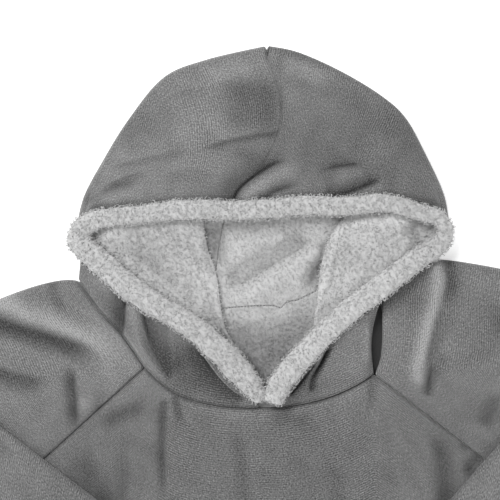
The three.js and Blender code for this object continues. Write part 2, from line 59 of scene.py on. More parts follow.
# Sizes that the solids have too
LENGTH = 1090  # crown of the hood to the hem
HEM_HALF = 385  # half the width at the hem
WALL = 5  # body cloth: smooth fleece and pile lining sewn as one
FLEECE = 2.5  # the hood's outer fleece
PILE = 4.5  # the hood's pile lining
GAP = 0.3  # between pieces at a seam
SEAM_STEP = 0.15  # how far a panel's edge lies from its neighbour's
EDGE_TOP = 10.6  # top of the two walls where they meet at a side
BODY_TOP = 16  # top of the front where the air in it lifts it
TUBE_HALF = 6  # half the thickness of a flattened sleeve
FOLD_HALF = 370  # half the width across the two sleeve folds
EDGE_ROUND = 9  # how far in a sleeve's folded edge is rounded
HOOD_FOLD = 8.5  # radius of the hood's outline fold
RIM_HEIGHT = 13  # thickness of the pile band
NECK_TOP = 15  # top of the neck seam at the front
FLOOR_TOP = FLEECE + GAP + PILE  # inside face of the hood's back
LAYER_BASE = 8.2  # what lies on the hood's back starts here
CROWN_Y = LENGTH / 2
HEM_Y = -LENGTH / 2
TOP_BOW = 30  # how far the hood's centre seam bows to the right over the top
UNDER_BEND = (-35.5, -87)  # and to the left on its way down the back

# The camera looks straight down on a square of the garment
VIEW_CENTRE = (-12, 340)
VIEW_WIDTH = 500
VIEW_LEVEL = 14  # height of the cloth that the width is measured on
VIEW_DISTANCE = 1800

# Soft lights: name, place and size in metres, and power in watts. They are turned to LIGHT_AIM
SOFTBOXES = (
    ("key_softbox", (-0.95, 1.15, 2.3), 1.0, 53),
    ("fill_softbox", (0.5, -1.3, 1.3), 1.2, 14),
)
LIGHT_AIM = (0, 0.3, 0)
ROOM_LIGHT = 0.54
FLOOR_HALF = 4  # half the floor's width in metres
FLOOR_DROP = 0.6  # how far the floor lies below the cloth

# Cuts that more than one piece has: width and length in metres
HOOD_CUT = (0.26, 0.43)
FOLD_CUT = (0.15, 0.13)
SLEEVE_CUT = (0.5, 0.68)
BAND_CUT = (0.43, 0.052)

def table(columns, *rows):
    """Rows of values as dictionaries, under the columns' names."""
    return [dict(zip(columns.split(), row)) for row in rows]


# The hood's ribs: from the edge at the band over the top to the outline fold, and underneath to the neck seam
RIBS_LEFT = table(
    "rim fold neck lean",
    ((-175, 357, 17), (-187, 358), (-178, 306), 0),
    ((-170, 381, 23), (-179, 393), (-169, 301), 0),
    ((-145, 383, 30), (-159.5, 430), (-156, 295.5), 0),
    ((-115, 386, 32), (-134, 471), (-134, 289), 0),
    ((-86, 389.6, 33), (-99, 513), (-107, 284), 0.27),
    ((-58, 390.6, 33), (-56, 531), (-76, 281.2), 0.67),
    ((-29.4, 389.4, 33), (4.8, CROWN_Y), (-46.3, 281), 1),
)
RIBS_RIGHT = table(
    "rim fold neck lean",
    ((-28.8, 389.4, 33), (5.4, CROWN_Y), (-45.7, 281), 1),
    ((4, 390.7, 33), (38, 538), (-12, 284), 0.67),
    ((44, 394.4, 33), (82, 518), (24, 286), 0.27),
    ((78, 393.4, 33), (121, 494), (50, 297), 0),
    ((114, 396, 32), (144.5, 472), (75, 310), 0),
    ((148, 392, 30), (164, 436.5), (100, 317), 0),
    ((175, 385, 23), (182.5, 396), (118, 321), 0),
    ((176, 362, 17), (188, 364), (128.5, 325), 0),
)

# The pile band's path from the centre join round the corner to the point of the neck, with half its width
BAND_LEFT = table(
    "at half",
    ((-28.95, 379, 34), 9),
    ((-57, 380, 34), 9.5),
    ((-86, 379, 34), 9.5),
    ((-114, 375.5, 33), 9),
    ((-143, 373, 31), 8.8),
    ((-165, 369.5, 28.5), 9),
    ((-179, 361, 26), 10),
    ((-182.5, 350, 25.5), 11),
    ((-172, 338, 26.5), 11.5),
    ((-157.5, 325.5, 28), 12),
    ((-131, 303, 30), 12),
    ((-102, 283.5, 30), 11.5),
    ((-74, 267, 30), 11.5),
    ((-42, 240.5, 28), 12.5),
    ((-18, 214, 23), 12),
    ((1.5, 190.5, 18), 8),
)
BAND_RIGHT = table(
    "at half",
    ((-28.85, 379, 34), 9),
    ((3, 380.5, 34), 9.2),
    ((44, 384.2, 34), 9.2),
    ((78, 383.2, 34), 9),
    ((122, 386, 33.5), 8.8),
    ((152, 378.5, 31), 8),
    ((174, 371.5, 28), 7.5),
    ((182, 358.5, 26), 8),
    ((174, 344, 27), 9.5),
    ((150, 328.5, 29), 10.8),
    ((116.5, 302.8, 30.5), 11.3),
    ((86, 279.6, 31), 11.2),
    ((57, 252, 31), 11),
    ((34, 228, 31.5), 11.3),
    ((17.3, 206, 32), 11),
    ((10, 188, 31.5), 9.3),
)

# The hood's lower sides: the neck seam below each band, and where along the band each row meets it
SIDE_LEFT = table(
    "neck meet hang roll",
    ((-184, 311, 9), 0.53, 0, 0),
    ((-176, 297, 12), 0.567, 0, 1),
    ((-158, 274, NECK_TOP), 0.618, 2, 3),
    ((-142, 257.5, NECK_TOP), 0.654, 4, 6),
    ((-129, 240, NECK_TOP), 0.69, 5, 7),
    ((-117, 222.5, NECK_TOP), 0.732, 7, 7),
    ((-102, 208, NECK_TOP), 0.772, 9, 7),
    ((-86, 196.5, NECK_TOP), 0.812, 9, 6),
    ((-64, 188.5, NECK_TOP), 0.855, 8, 4),
    ((-42, 184, NECK_TOP), 0.9, 6, 2),
    ((-23, 182.5, NECK_TOP), 0.945, 3, 0),
    ((-9, 182, NECK_TOP), 0.975, 0, 0),
    ((-1, 183, NECK_TOP), 1, 0, 0),
)
SIDE_RIGHT = table(
    "neck meet hang roll",
    ((8, 183, NECK_TOP), 1, 0, 0),
    ((17, 182.3, NECK_TOP), 0.965, 0, 0),
    ((32, 184.5, NECK_TOP), 0.925, 3, 1),
    ((48, 187.5, NECK_TOP), 0.87, 4, 3),
    ((63, 191.5, NECK_TOP), 0.82, 4, 4),
    ((78, 197, NECK_TOP), 0.786, 3, 5),
    ((92, 203.5, NECK_TOP), 0.76, 2, 6),
    ((103, 210, NECK_TOP), 0.735, 1, 6),
    ((109, 214, 13), 0.708, 2, 4),
    ((111.8, 215.6, 11), 0.68, 8, 1),
)

# The lining's side walls, folded over on the hood's back, a row for each cut across
FOLD_LEFT = table(
    "y outer edge crown start",
    (374, -168, -59, 26.5, 0.05),
    (358, -170, -57.5, 26.5, -0.02),
    (340, -164, -54, 26.5, -0.08),
    (324, -152, -48, 27, -0.06),
    (308, -132, -44.5, 27, -0.03),
    (292, -110, -42.5, 25.5, 0.02),
    (276, -86, -40, 23.5, 0.05),
    (260, -64, -36, 20, 0.1),
    (246, -48, -28, 16, 0.2),
)
FOLD_RIGHT = table(
    "y outer edge crown start",
    (376, 168, 85, 27, 0.1),
    (360, 174, 72, 28, 0.18),
    (346, 168, 65, 29, 0.06),
    (332, 148, 61, 30, -0.034),
    (318, 122, 58, 30, -0.1),
    (304, 114, 56.5, 29, 0.02),
    (290, 97, 55, 27, 0.05),
    (277, 84, 52.5, 23, 0.15),
    (264, 72, 52, 18, 0.2),
)

# Each sleeve as it lies: underarm, neck corners, shoulder, the folded edge, and the cuff's two corners
SLEEVE_LEFT = {
    "underarm": (-350, 11),
    "front_seam": ((-117.8, 221.8), (-129.8, 239.3), (-142.8, 256.8), (-158.8, 273.3), (-174.8, 295.3)),
    "back_seam": ((-134.6, 288), (-156.6, 294.4), (-169.5, 299.8)),
    "shoulder": (-181.5, 304.5),
    "fold_arm": (-370, 6),
    "fold_shoulder": (-366, 244),
    "cuff_arm": (-106, -109),
    "cuff_shoulder": (-31, -9),
    "arch": 41,
}
SLEEVE_RIGHT = {
    "underarm": (350, 34),
    "front_seam": ((113.2, 214.6), (119, 232), (120.5, 250), (120.5, 286)),
    "back_seam": ((100.5, 315.8), (118.5, 319.8)),
    "shoulder": (130.5, 323.5),
    "fold_arm": (370, 30),
    "fold_shoulder": (364, 291.5),
    "cuff_arm": (180, -106),
    "cuff_shoulder": (86, -23),
    "arch": 40,
}


def crease(path, rise, left, right=None, fade=(0.3, 0.3), sharp=2.0):
    """A trough or ridge along a path: its height, its half width on the left and right of the way the path runs, the
    shares of its length over which it fades in and out, and how round its section is. One that is less round than 2
    is a sharp fold, with a narrow core that is deeper still."""
    return {"path": path, "rise": rise, "left": left, "right": right or left, "fade": fade, "sharp": sharp}


def seam_trough(*path, rise=-3.2, half=2.2):
    """The shallow trough that stitching pulls along a seam."""
    return crease(path, rise, half, fade=(0.01, 0.01))


NECK_SEAM = seam_trough(*(row["neck"][:2] for row in (*SIDE_LEFT, *SIDE_RIGHT)))
RAGLAN_LEFT = seam_trough((-350, 11), (-117.8, 221.8), rise=-2.2, half=1.7)
RAGLAN_RIGHT = seam_trough((350, 34), (113.2, 214.6), rise=-2.2, half=1.7)

# Creases of the front
FRONT_CREASES = (
    NECK_SEAM,
    RAGLAN_LEFT,
    RAGLAN_RIGHT,
    crease(((-96, 192), (-98, 170), (-99, 140), (-98, 75)), -4.2, 2.4, 5, (0.05, 0.4)),
    crease(((-86, 194), (-83, 182), (-79, 160)), -4, 2.4, 5, (0.05, 0.6)),
    crease(((-28, 172), (-22, 150), (-17, 120), (-14, 60)), -1.6, 5, 9),
    crease(((-166, 164), (-140, 176), (-112, 187)), -4.2, 7, 9),
    crease(((112, 216), (111, 200), (109, 172)), -3.5, 3, 5, (0.05, 0.6)),
    crease(((172, 165), (178, 140), (182, 115), (184, 70)), -4.5, 11, 8),
    crease(((207, 156), (204, 148), (200, 138)), -3, 4, 4),
    crease(((222, 138), (214, 130), (204, 112)), -4, 8, 7),
    crease(((-172, 146), (-176, 122), (-162, 96), (-142, 60)), -4, 12, 16),
    crease(((-40, 177), (-22, 177), (-4, 180)), 1.4, 3, 7),
    crease(((4, 176), (28, 171), (56, 173)), -2.2, 6, 10),
    crease(((-137, 160), (-138, 130), (-137, 60)), -2.6, 5, 8, (0.4, 0.3)),
    crease(((60, 150), (84, 60), (96, -120)), -2, 8, 14),
    crease(((-60, 120), (-66, -60), (-74, -300), (-64, -500)), 2, 12, 16),
    crease(((-215, -110), (-186, -240), (-170, -360), (-176, -500)), -3.4, 4.5, 12),
    crease(((40, -120), (62, -260), (92, -450)), -3, 5, 13),
    crease(((232, -90), (258, -240), (270, -440)), -3.4, 12, 5),
    crease(((150, -130), (172, -300), (182, -480)), 2, 12, 14),
    crease(((-305, -60), (-292, -200), (-300, -340)), -2.6, 5, 10),
    crease(((300, -80), (318, -220), (310, -330)), -2.4, 8, 5),
    crease(((-120, -440), (-40, -470), (60, -455)), -2, 6, 10),
)
# Creases of the forearms, the same on both, as lines at the right one's places
FOREARM_CREASES = (
    crease(((345, 150), (300, 112), (262, 102)), -2.8, 8, 10),
    crease(((340, 90), (300, 66), (250, 56)), -2.2, 9, 8),
    crease(((300, 200), (270, 160), (248, 122)), -2, 8, 12),
    crease(((232, 60), (190, 22), (150, -4)), -2.4, 10, 10),
    crease(((250, -10), (214, -34), (190, -64)), -2, 9, 8),
)
# Creases of the upper arms
ARM_CREASES = (
    seam_trough(*(row["neck"][:2] for row in SIDE_LEFT)),
    RAGLAN_LEFT,
    RAGLAN_RIGHT,
    crease(((-330, 270), (-290, 275), (-242, 261), (-202, 249), (-178, 241), (-163, 230)), -8, 4.5, 11, (0.2, 0.2)),
    crease(((-300, 290), (-262, 288), (-232, 274), (-202, 264), (-176, 253), (-158, 238), (-151, 214), (-154, 186)),
           6, 12, 8, (0.25, 0.4)),
    crease(((-189, 228), (-189, 206), (-187, 186), (-186, 156)), -7.5, 2.6, 7, (0.3, 0.35)),
    crease(((-210, 309), (-206, 294), (-199, 282), (-190, 272)), -3, 4, 6, (0.1, 0.5)),
    crease(((-290, 214), (-267, 219), (-248, 213), (-228, 209), (-210, 210)), -6, 4, 10),
    crease(((-184, 196), (-177, 184), (-168, 178)), 1.8, 9, 9),
    crease(((-160, 200), (-163, 184), (-164, 170)), -1.8, 5, 6),
    crease(((-330, 130), (-290, 160), (-250, 160)), -3.5, 12, 16),
    crease(((171, 335), (179, 312), (176, 293), (169, 268), (163, 245), (159, 224), (158, 198)), 7, 4.5, 10,
           (0.02, 0.12), 2.6),
    crease(((186, 334), (189, 312), (187, 296), (181, 280)), -5, 8, 4, (0.1, 0.5)),
    crease(((178, 285), (174, 262), (170, 240), (167, 224)), -2, 8, 4),
    crease(((169, 232), (168, 218), (166, 206), (163, 194)), -6, 5, 1.8, (0.4, 0.1)),
    crease(((183, 240), (178, 226), (171, 214)), -2, 6, 8),
    crease(((237, 198), (229, 180), (222, 160)), -4, 8, 9),
    crease(((330, 110), (290, 170), (255, 190)), -3.5, 14, 12),
    crease(((300, 260), (260, 268), (214, 262)), -2.5, 12, 16),
)
HOOD_CREASES = (
    crease(((-30, 383), (-24, 398), (-14, 408), (0, 418), (13, 425.5), (31, 431)), -6, 15, 2.2, (0.02, 0.35), 1.5),
    crease(((-20, 386), (-8, 400), (8, 411), (25, 420), (46, 424)), 3, 5, 10, (0.1, 0.4)),
    crease(((-3, 389), (6, 393), (14, 398), (25, 402), (42, 405.5)), -3.6, 6, 2.2, (0.05, 0.5), 1.6),
    crease(((60, 395), (81, 395.5), (95, 400.5), (106, 405), (114, 409), (118, 416)), -4.5, 9, 2.2, (0.15, 0.25), 1.6),
    crease(((84, 390), (100, 394), (116, 401), (126, 410)), 2.4, 4, 7),
    crease(((54, 417), (70, 422), (84, 424), (103, 425.5)), -3, 7, 2, (0.4, 0.3), 1.6),
    crease(((68, 410), (88, 414), (108, 417)), 2.2, 6, 7),
    crease(((-158, 419), (-112, 431), (-57, 440)), -2, 2, 6),
    crease(((-62, 438), (-42, 445), (-23, 449.5), (0, 454), (11, 455), (19, 460)), -2.8, 2.2, 6, (0.3, 0.1), 1.6),
    crease(((-186, 374), (-178, 384), (-170, 391), (-160, 396)), -2, 5, 2.5, (0.05, 0.4)),
    crease(((-164, 385), (-140, 392), (-118, 394)), 1.6, 6, 5),
    crease(((-160, 401), (-128, 413), (-112, 418)), -2.6, 2, 5),
    crease(((-166, 393), (-144, 404), (-120, 408)), -2, 2, 4),
    crease(((-96, 408), (-72, 416), (-44, 414)), -1.6, 5, 8),
    crease(((-84, 494), (-66, 498), (-50, 494)), -1.4, 5, 7),
    crease(((4, 548), (5, 538), (6, 530)), -4.5, 1.5, 1.5, (0.01, 0.4), 1.4),
    crease(((17, 534), (18, 525), (19, 514)), -1.6, 2.5, 2.5),
    crease(((19, 508), (20, 480), (19, 462)), -0.8, 1.6, 3, (0.2, 0.1)),
    crease(((-30, 440), (-14, 434), (-6, 424)), -1.4, 7, 6),
    crease(((-150, 440), (-110, 470), (-70, 490)), -1.2, 14, 16),
)
# Creases of the lining on the hood's back, where it shows
FLOOR_CREASES = (
    crease(((-34, 286), (-7, 301), (13, 314), (38, 329), (62, 344)), 6.8, 6, 13, (0.25, 0.1)),
    crease(((-40, 304), (-20, 312), (2, 325), (24, 338), (52, 353)), -4, 13, 5, (0.2, 0.2)),
    crease(((66, 350), (62, 332), (55, 321), (48, 310), (40, 300)), -4, 5, 6, (0.1, 0.5)),
    crease(((88, 374), (72, 356), (63, 334), (59, 312), (52, 286)), -2.4, 4, 2, (0.02, 0.2)),
    crease(((-30, 372), (-22, 350), (-20, 330)), 1.4, 7, 8),
    crease(((10, 372), (14, 352), (24, 345)), 1.2, 8, 7),
)
NECK_CREASES = (
    crease(((-38, 271), (-12, 274), (13, 272), (42, 284)), 3.2, 7, 12, (0.2, 0.2)),
    crease(((-16, 248), (-4, 246), (6, 249), (18, 246)), -0.9, 1.8, 2.6),
    crease(((-14, 239), (0, 241), (12, 238), (22, 240)), -0.8, 1.8, 2.6),
    crease(((-4, 231), (8, 233), (18, 230)), -0.7, 1.8, 2.4),
)
SIDE_CREASES = (
    NECK_SEAM,
    crease(((-135, 300), (-137, 280), (-139, 266), (-141, 253)), -8, 1.8, 12, (0.02, 0.2), 1.6),
    crease(((-128, 294), (-126, 265), (-121, 246), (-113, 230), (-103, 216), (-90, 203)), 3.2, 4, 9, (0.05, 0.2)),
    crease(((-119, 286), (-116, 266), (-110, 246), (-103, 231), (-91, 208)), -5, 13, 1.8, (0.02, 0.15), 1.7),
    crease(((-90, 264), (-89, 240), (-88, 220), (-88, 204)), 1.6, 3, 3.4, (0.1, 0.2)),
    crease(((-72, 252), (-57, 231), (-43, 211), (-30, 198), (-16, 190)), -6, 1.5, 12, (0.15, 0.1), 1.6),
    crease(((-170, 318), (-156, 300), (-146, 290)), 1.8, 6, 7),
    crease(((68, 252), (64, 239), (58, 226), (50.5, 212), (49, 197)), -9, 3.4, 1.4, (0.01, 0.12), 1.6),
    crease(((58, 246), (53, 230), (45, 212)), 2.6, 4, 5),
    crease(((54, 229), (41, 212), (25, 192)), -5, 4, 1.6, (0.1, 0.2), 1.6),
    crease(((108, 222), (106, 246), (108, 270)), 2, 6, 10),
)
FOLD_CREASES = (
    crease(((136, 326), (123, 315), (108, 305), (93, 293), (81, 283)), -3, 3.5, 3.5),
    crease(((83, 364), (76, 345), (72, 325), (68, 305), (59, 284)), -1.3, 2.2, 3),
    crease(((120, 372), (104, 352), (96, 330)), 1.4, 9, 10),
    crease(((-150, 352), (-128, 340), (-104, 322), (-82, 300)), -1.6, 6, 7),
    crease(((-120, 366), (-100, 352), (-84, 330)), 1.2, 8, 9),
    crease(((-60, 372), (-64, 352), (-60, 330)), -1.2, 6, 6),
)

PAINTED_FOLD_SHADE = 0.055  # painted shade: how much darker the cloth is painted for each millimetre down in a trough, and paler on a ridge

# Patches where the fleece is painted darker or lighter, where its nap is brushed another way and as painted shade in
# recesses by the band and painted light on ridges: centre, half size, turn in degrees and shade
NAP_AND_SHADE_PATCHES = (
    ((-7, 484), (26, 25), 4, -0.85),
    ((110, 445), (85, 60), -25, -0.5),
    ((-31, 521), (34, 11), 18, 0.45),
    ((46, 517), (27, 10), -22, 0.55),
    ((38, 534), (34, 7), -20, -0.35),
    ((-100, 430), (70, 60), 30, 0.15),
    ((-64, 228), (30, 40), -40, -0.4),
    ((30, 120), (170, 70), 0, -0.5),
    ((-180, 110), (50, 60), -40, -0.35),
    ((-150, 255), (40, 14), -50, 0.25),
    ((225, 250), (60, 80), 20, -0.2),
    ((138, 296), (22, 26), 40, -0.4),
    ((85, 232), (26, 30), 0, 0.1),
)
# And patches where the pile is painted darker, as painted shade deep in the neck, in the gap by the right sleeve and
# in the lining's hollows and folds, and paler, as painted light just below the top of the band and in its left
# corner's hollow
PILE_SHADE_PATCHES = (
    ((-2, 234), (70, 46), 0, -1.15),
    ((-120, 336), (56, 38), -35, -0.4),
    ((104, 345), (30, 34), 0, -0.3),
    ((-160, 362), (18, 9), -12, 1.0),
    ((-49, 350), (13, 24), 0, -1.3),
    ((55, 322), (9, 22), -30, -0.8),
    ((115, 246), (10, 44), 0, -4.0),
    ((5, 369), (172, 7), 1, 1.6),
)
# A patch of painted light on the band's lower right arm, paler where more light falls
BAND_LIGHT_PATCHES = (((78, 271), (80, 20), 38, 0.5),)


def spread(count):
    return np.linspace(0, 1, count + 1)


def mix(a, b, t):
    return a + (b - a) * t


def xyz(x, y, z):
    """Points of a grid, with z also as one height for all."""
    return np.stack([x, y, np.broadcast_to(z, x.shape)], -1)


def ease(low, high, value):
    t = np.clip((value - low) / (high - low), 0, 1)
    return t * t * (3 - 2 * t)


def marks(length, step, first=True, last=True, start=None):
    """Shares from 0 to 1, a step apart and closer together at a rounded end. start gives the first stretch a step of
    its own, as (its length, its step)."""
    close = np.array([0, 0.3, 0.8, 1.5, 2.4, 3.6, 5.2])
    head = close if first else np.array([0.0])
    tail = length - (close if last else np.array([0.0]))[::-1]
    low = head[-1]
    if start:
        until, own_step = start
        head = np.concatenate([head, np.linspace(low, until, round((until - low) / own_step) + 1)[1:]])
        low = until
    middle = np.linspace(low, tail[0], max(2, round((tail[0] - low) / step)) + 1)[1:-1]
    return np.concatenate([head, middle, tail]) / length


def along(rows, shares):
    """A table's columns at shares of the way down it, on smooth curves through its rows."""
    last = len(rows) - 1
    place = np.clip(np.atleast_1d(shares), 0, 1) * last
    i = np.minimum(place.astype(int), last - 1)
    f = (place - i)[:, None]
    out = {}
    for key in rows[0]:
        column = np.array([np.atleast_1d(row[key]) for row in rows], float)
        a, b, c, d = (column[np.clip(i + k, 0, last)] for k in (-1, 0, 1, 2))
        curve = b + 0.5 * f * (c - a + f * (2 * a - 5 * b + 4 * c - d + f * (3 * (b - c) + d - a)))
        out[key] = curve if curve.shape[1] > 1 else curve[:, 0]
    return out


def on_line(points, shares):
    """Points at shares of the length of a line of straight pieces."""
    points = np.array(points, float)
    run = np.concatenate([[0], np.cumsum(np.hypot(*np.diff(points, axis=0).T))])
    return np.stack([np.interp(shares * run[-1], run, points[:, n]) for n in range(2)], -1)


FOLD_CORE = 1.4  # half width of a sharp fold's core
CORE_SHARE = 0.6  # how much deeper the core is, as a share of the fold's own depth
LOCKS_PER_M2 = 4e5  # the most locks of pile before their spacing thins them out


def relief(creases, x, y):
    """The height that a list of creases adds at places."""
    height = np.zeros(x.shape)
    for c in creases:
        line = along([{"at": point} for point in c["path"]], spread(max(20, 3 * len(c["path"]))))["at"]
        reach = 3 * max(c["left"], c["right"])
        (low_x, low_y), (high_x, high_y) = line.min(0) - reach, line.max(0) + reach
        near = (x > low_x) & (x < high_x) & (y > low_y) & (y < high_y)
        if not near.any():
            continue
        px, py = x[near], y[near]
        steps = np.diff(line, axis=0)
        lengths = np.hypot(*steps.T)
        run = np.concatenate([[0], np.cumsum(lengths)])
        best, side, share = np.full(px.shape, np.inf), np.zeros(px.shape), np.zeros(px.shape)
        for (ax, ay), (dx, dy), length, before in zip(line, steps, lengths, run):
            t = np.clip(((px - ax) * dx + (py - ay) * dy) / length**2, 0, 1)
            far = np.hypot(px - ax - t * dx, py - ay - t * dy)
            closer = far < best
            best = np.where(closer, far, best)
            side = np.where(closer, dx * (py - ay) - dy * (px - ax), side)
            share = np.where(closer, (before + t * length) / run[-1], share)
        fade_in, fade_out = c["fade"]
        body = ease(0, fade_in, share) * ease(0, fade_out, 1 - share)
        half = np.where(side > 0, c["left"], c["right"])
        height[near] += c["rise"] * body * np.exp(-((best / half) ** c["sharp"]))
        if c["sharp"] < 2:
            height[near] += CORE_SHARE * c["rise"] * body * np.exp(-((best / FOLD_CORE) ** 2))
    return height


def rumple(x, y, size, seed):
    """Soft uneven waves of about one size, from a fixed seed."""
    draw = np.random.default_rng(seed)
    total = np.zeros_like(x)
    for _ in range(8):
        turn, phase, stretch = draw.uniform(0, TAU), draw.uniform(0, TAU), draw.uniform(0.7, 1.5)
        k = TAU / (size * stretch)
        total += np.sin(k * (x * math.cos(turn) + y * math.sin(turn)) + phase)
    return total / 4


def loft(x, y, half, edge):
    """How far the air in it lifts the front over its edges, and the share of this and of its creases at each place."""
    wave = 1.8 * np.sin(x / 95 + 1.3) * np.cos(y / 130 + 0.4) + np.sin(x / 47 - y / 88)
    inside = ease(0, 55, half - np.abs(x)) * ease(0, 45, y - HEM_Y)
    return BODY_TOP - edge + wave, inside


def smooth_top(x, y, half, edge):
    lift, inside = loft(x, y, half, edge)
    return edge + lift * inside


def body_top(x, y, half, edge, folds):
    lift, inside = loft(x, y, half, edge)
    fine = 0.5 * rumple(x, y, 60, 5) + 0.3 * rumple(x, y, 24, 6)
    return np.maximum(EDGE_TOP, edge + (lift + folds + fine) * inside)


def normals(grid, seam=None):
    """Each point's normal, and at a centre seam the normal as if the cloth ran level through it."""
    down = np.gradient(grid, axis=0)
    if seam is not None:
        down[seam] = (1, 0, 0)
    normal = np.cross(down, np.gradient(grid, axis=1))
    return normal / np.linalg.norm(normal, axis=2, keepdims=True)


def run_from(grid, axis, end):
    """How far each point lies from one border, along the grid's lines."""
    step = np.linalg.norm(np.diff(grid, axis=axis), axis=2)
    pad = [(0, 0), (0, 0)]
    pad[axis] = (1, 0) if end == 0 else (0, 1)
    if end == 0:
        return np.pad(np.cumsum(step, axis=axis), pad)
    return np.pad(np.flip(np.cumsum(np.flip(step, axis), axis=axis), axis), pad)


def rounded(outer, inner, borders):
    """A wall whose borders turn in: each border is (axis, end, radius, outer share, inner share)."""
    out, into = outer.copy(), inner.copy()
    for axis, end, radius, outer_share, inner_share in borders:
        near = np.clip(run_from(outer, axis, end) / radius, 0, 1)
        turn = 0.96 * (1 - np.sqrt(1 - (1 - near) ** 2))[..., None]
        out = out + (inner - outer) * turn * outer_share
        into = into + (outer - inner) * turn * inner_share
    return out, into


def linear(hex_colour):
    """An sRGB hex colour as linear RGB."""
    parts = (int(hex_colour[i : i + 2], 16) / 255 for i in (1, 3, 5))
    return tuple(c / 12.92 if c <= 0.04045 else ((c + 0.055) / 1.055) ** 2.4 for c in parts)


def adder(tree):
    """A function that adds a node to a tree and gives one of its outputs, or all with out=None. An input's value is a
    socket to link from, or a constant."""

    def add(kind, inputs=None, out=0, **settings):
        node = tree.nodes.new(kind)
        for key, value in settings.items():
            setattr(node, key, value)
        for key, value in (inputs or {}).items():
            if isinstance(value, bpy.types.NodeSocket):
                tree.links.new(value, node.inputs[key])
            else:
                node.inputs[key].default_value = value
        return node.outputs if out is None else node.outputs[out]

    return add


def maths(add, operation, *values):
    return add("ShaderNodeMath", dict(enumerate(values)), operation=operation)


def noise(add, place, scale, detail, roughness=0.5):
    return add(
        "ShaderNodeTexNoise", {"Vector": place, "Scale": scale, "Detail": detail, "Roughness": roughness}, "Fac"
    )


def shader(name, surface):
    """The material of this name. Where it isn't there yet, it's made with the Principled inputs that surface gives."""
    material = bpy.data.materials.get(name)
    if material is None:
        material = bpy.data.materials.new(name)
        material.use_nodes = True
        material.node_tree.nodes.clear()
        add = adder(material.node_tree)
        skin = add("ShaderNodeBsdfPrincipled", surface(add))
        add("ShaderNodeOutputMaterial", {"Surface": skin}, None)
    return material


def ramp(add, factor, *stops):
    """A colour ramp through (place, linear colour) stops."""
    colour = add("ShaderNodeValToRGB", {"Fac": factor}, "Color")
    elements = colour.node.color_ramp.elements
    while len(elements) < len(stops):
        elements.new(0.5)
    for element, (place, value) in zip(elements, stops):
        element.position, element.color = place, (*value, 1)
    return colour


def weighted(add, base, *terms):
    """base plus each (socket, weight), each socket taken from its middle of 0.5."""
    for socket, weight in terms:
        base = maths(add, "ADD", maths(add, "MULTIPLY_ADD", socket, weight, -0.5 * weight), base)
    return base


def brushed_fleece():
    """Warp-knit polyester flannel fleece, brushed on its face: a short dense nap that scatters light and brightens at
    grazing angles, with the knit's ribs faint below it. Its colour is lighter or darker in patches where it is stroked
    another way, with shade painted darker in its troughs and recesses and light painted paler on its ridges and
    outline."""

    def surface(add):
        colours = bpy.context.scene.hoodie_colours
        cloth_uv = add("ShaderNodeUVMap", None, "UV", uv_map="cloth")
        # Nap grain, drawn at 1.6 mm though the hairs are 0.3 mm, so that it shows in the render
        grain = noise(add, cloth_uv, 620, 1, 0.6)
        # Ribs of the knit 2.3 mm apart, wandering and breaking up every 6 mm or so
        wave = {"Vector": cloth_uv, "Scale": 137, "Distortion": 2.6, "Detail": 1, "Detail Scale": 0.9}
        ribs = add("ShaderNodeTexWave", wave, "Fac")
        fading = {"Value": noise(add, cloth_uv, 16, 2), "From Min": 0.4, "From Max": 0.6, "To Min": 0.3, "To Max": 1.0}
        ribbed = add("ShaderNodeMapRange", fading)
        rib = maths(add, "MULTIPLY_ADD", maths(add, "ADD", ribs, -0.5), ribbed, 0.5)
        mottle = noise(add, cloth_uv, 45, 4)
        # The tone from the cloth's attribute: its nap's brushing, with shade painted in troughs and recesses and light
        # painted on ridges
        brushed_and_shaded = add("ShaderNodeAttribute", None, "Fac", attribute_name="nap_and_shade")
        tone = weighted(add, brushed_and_shaded, (grain, 1.2), (rib, 0.3), (mottle, 0.25))
        height = weighted(add, 0.5, (grain, 0.7), (rib, 0.35))
        # The ramp's dark and light colours show painted shade and painted light as well as the nap's own tone
        return {
            "Base Color": ramp(add, tone, (0, colours.fleece_dark_nap_and_painted_shade), (0.5, colours.fleece), (1, colours.fleece_light_nap_and_painted_light)),
            "Roughness": 0.9,
            "Specular IOR Level": 0.15,
            "Sheen Weight": 0.45,
            "Sheen Roughness": 0.35,
            "Normal": add("ShaderNodeBump", {"Height": height, "Strength": 0.8, "Distance": 0.0012}),
        }

    return shader("brushed_flannel_fleece", surface)


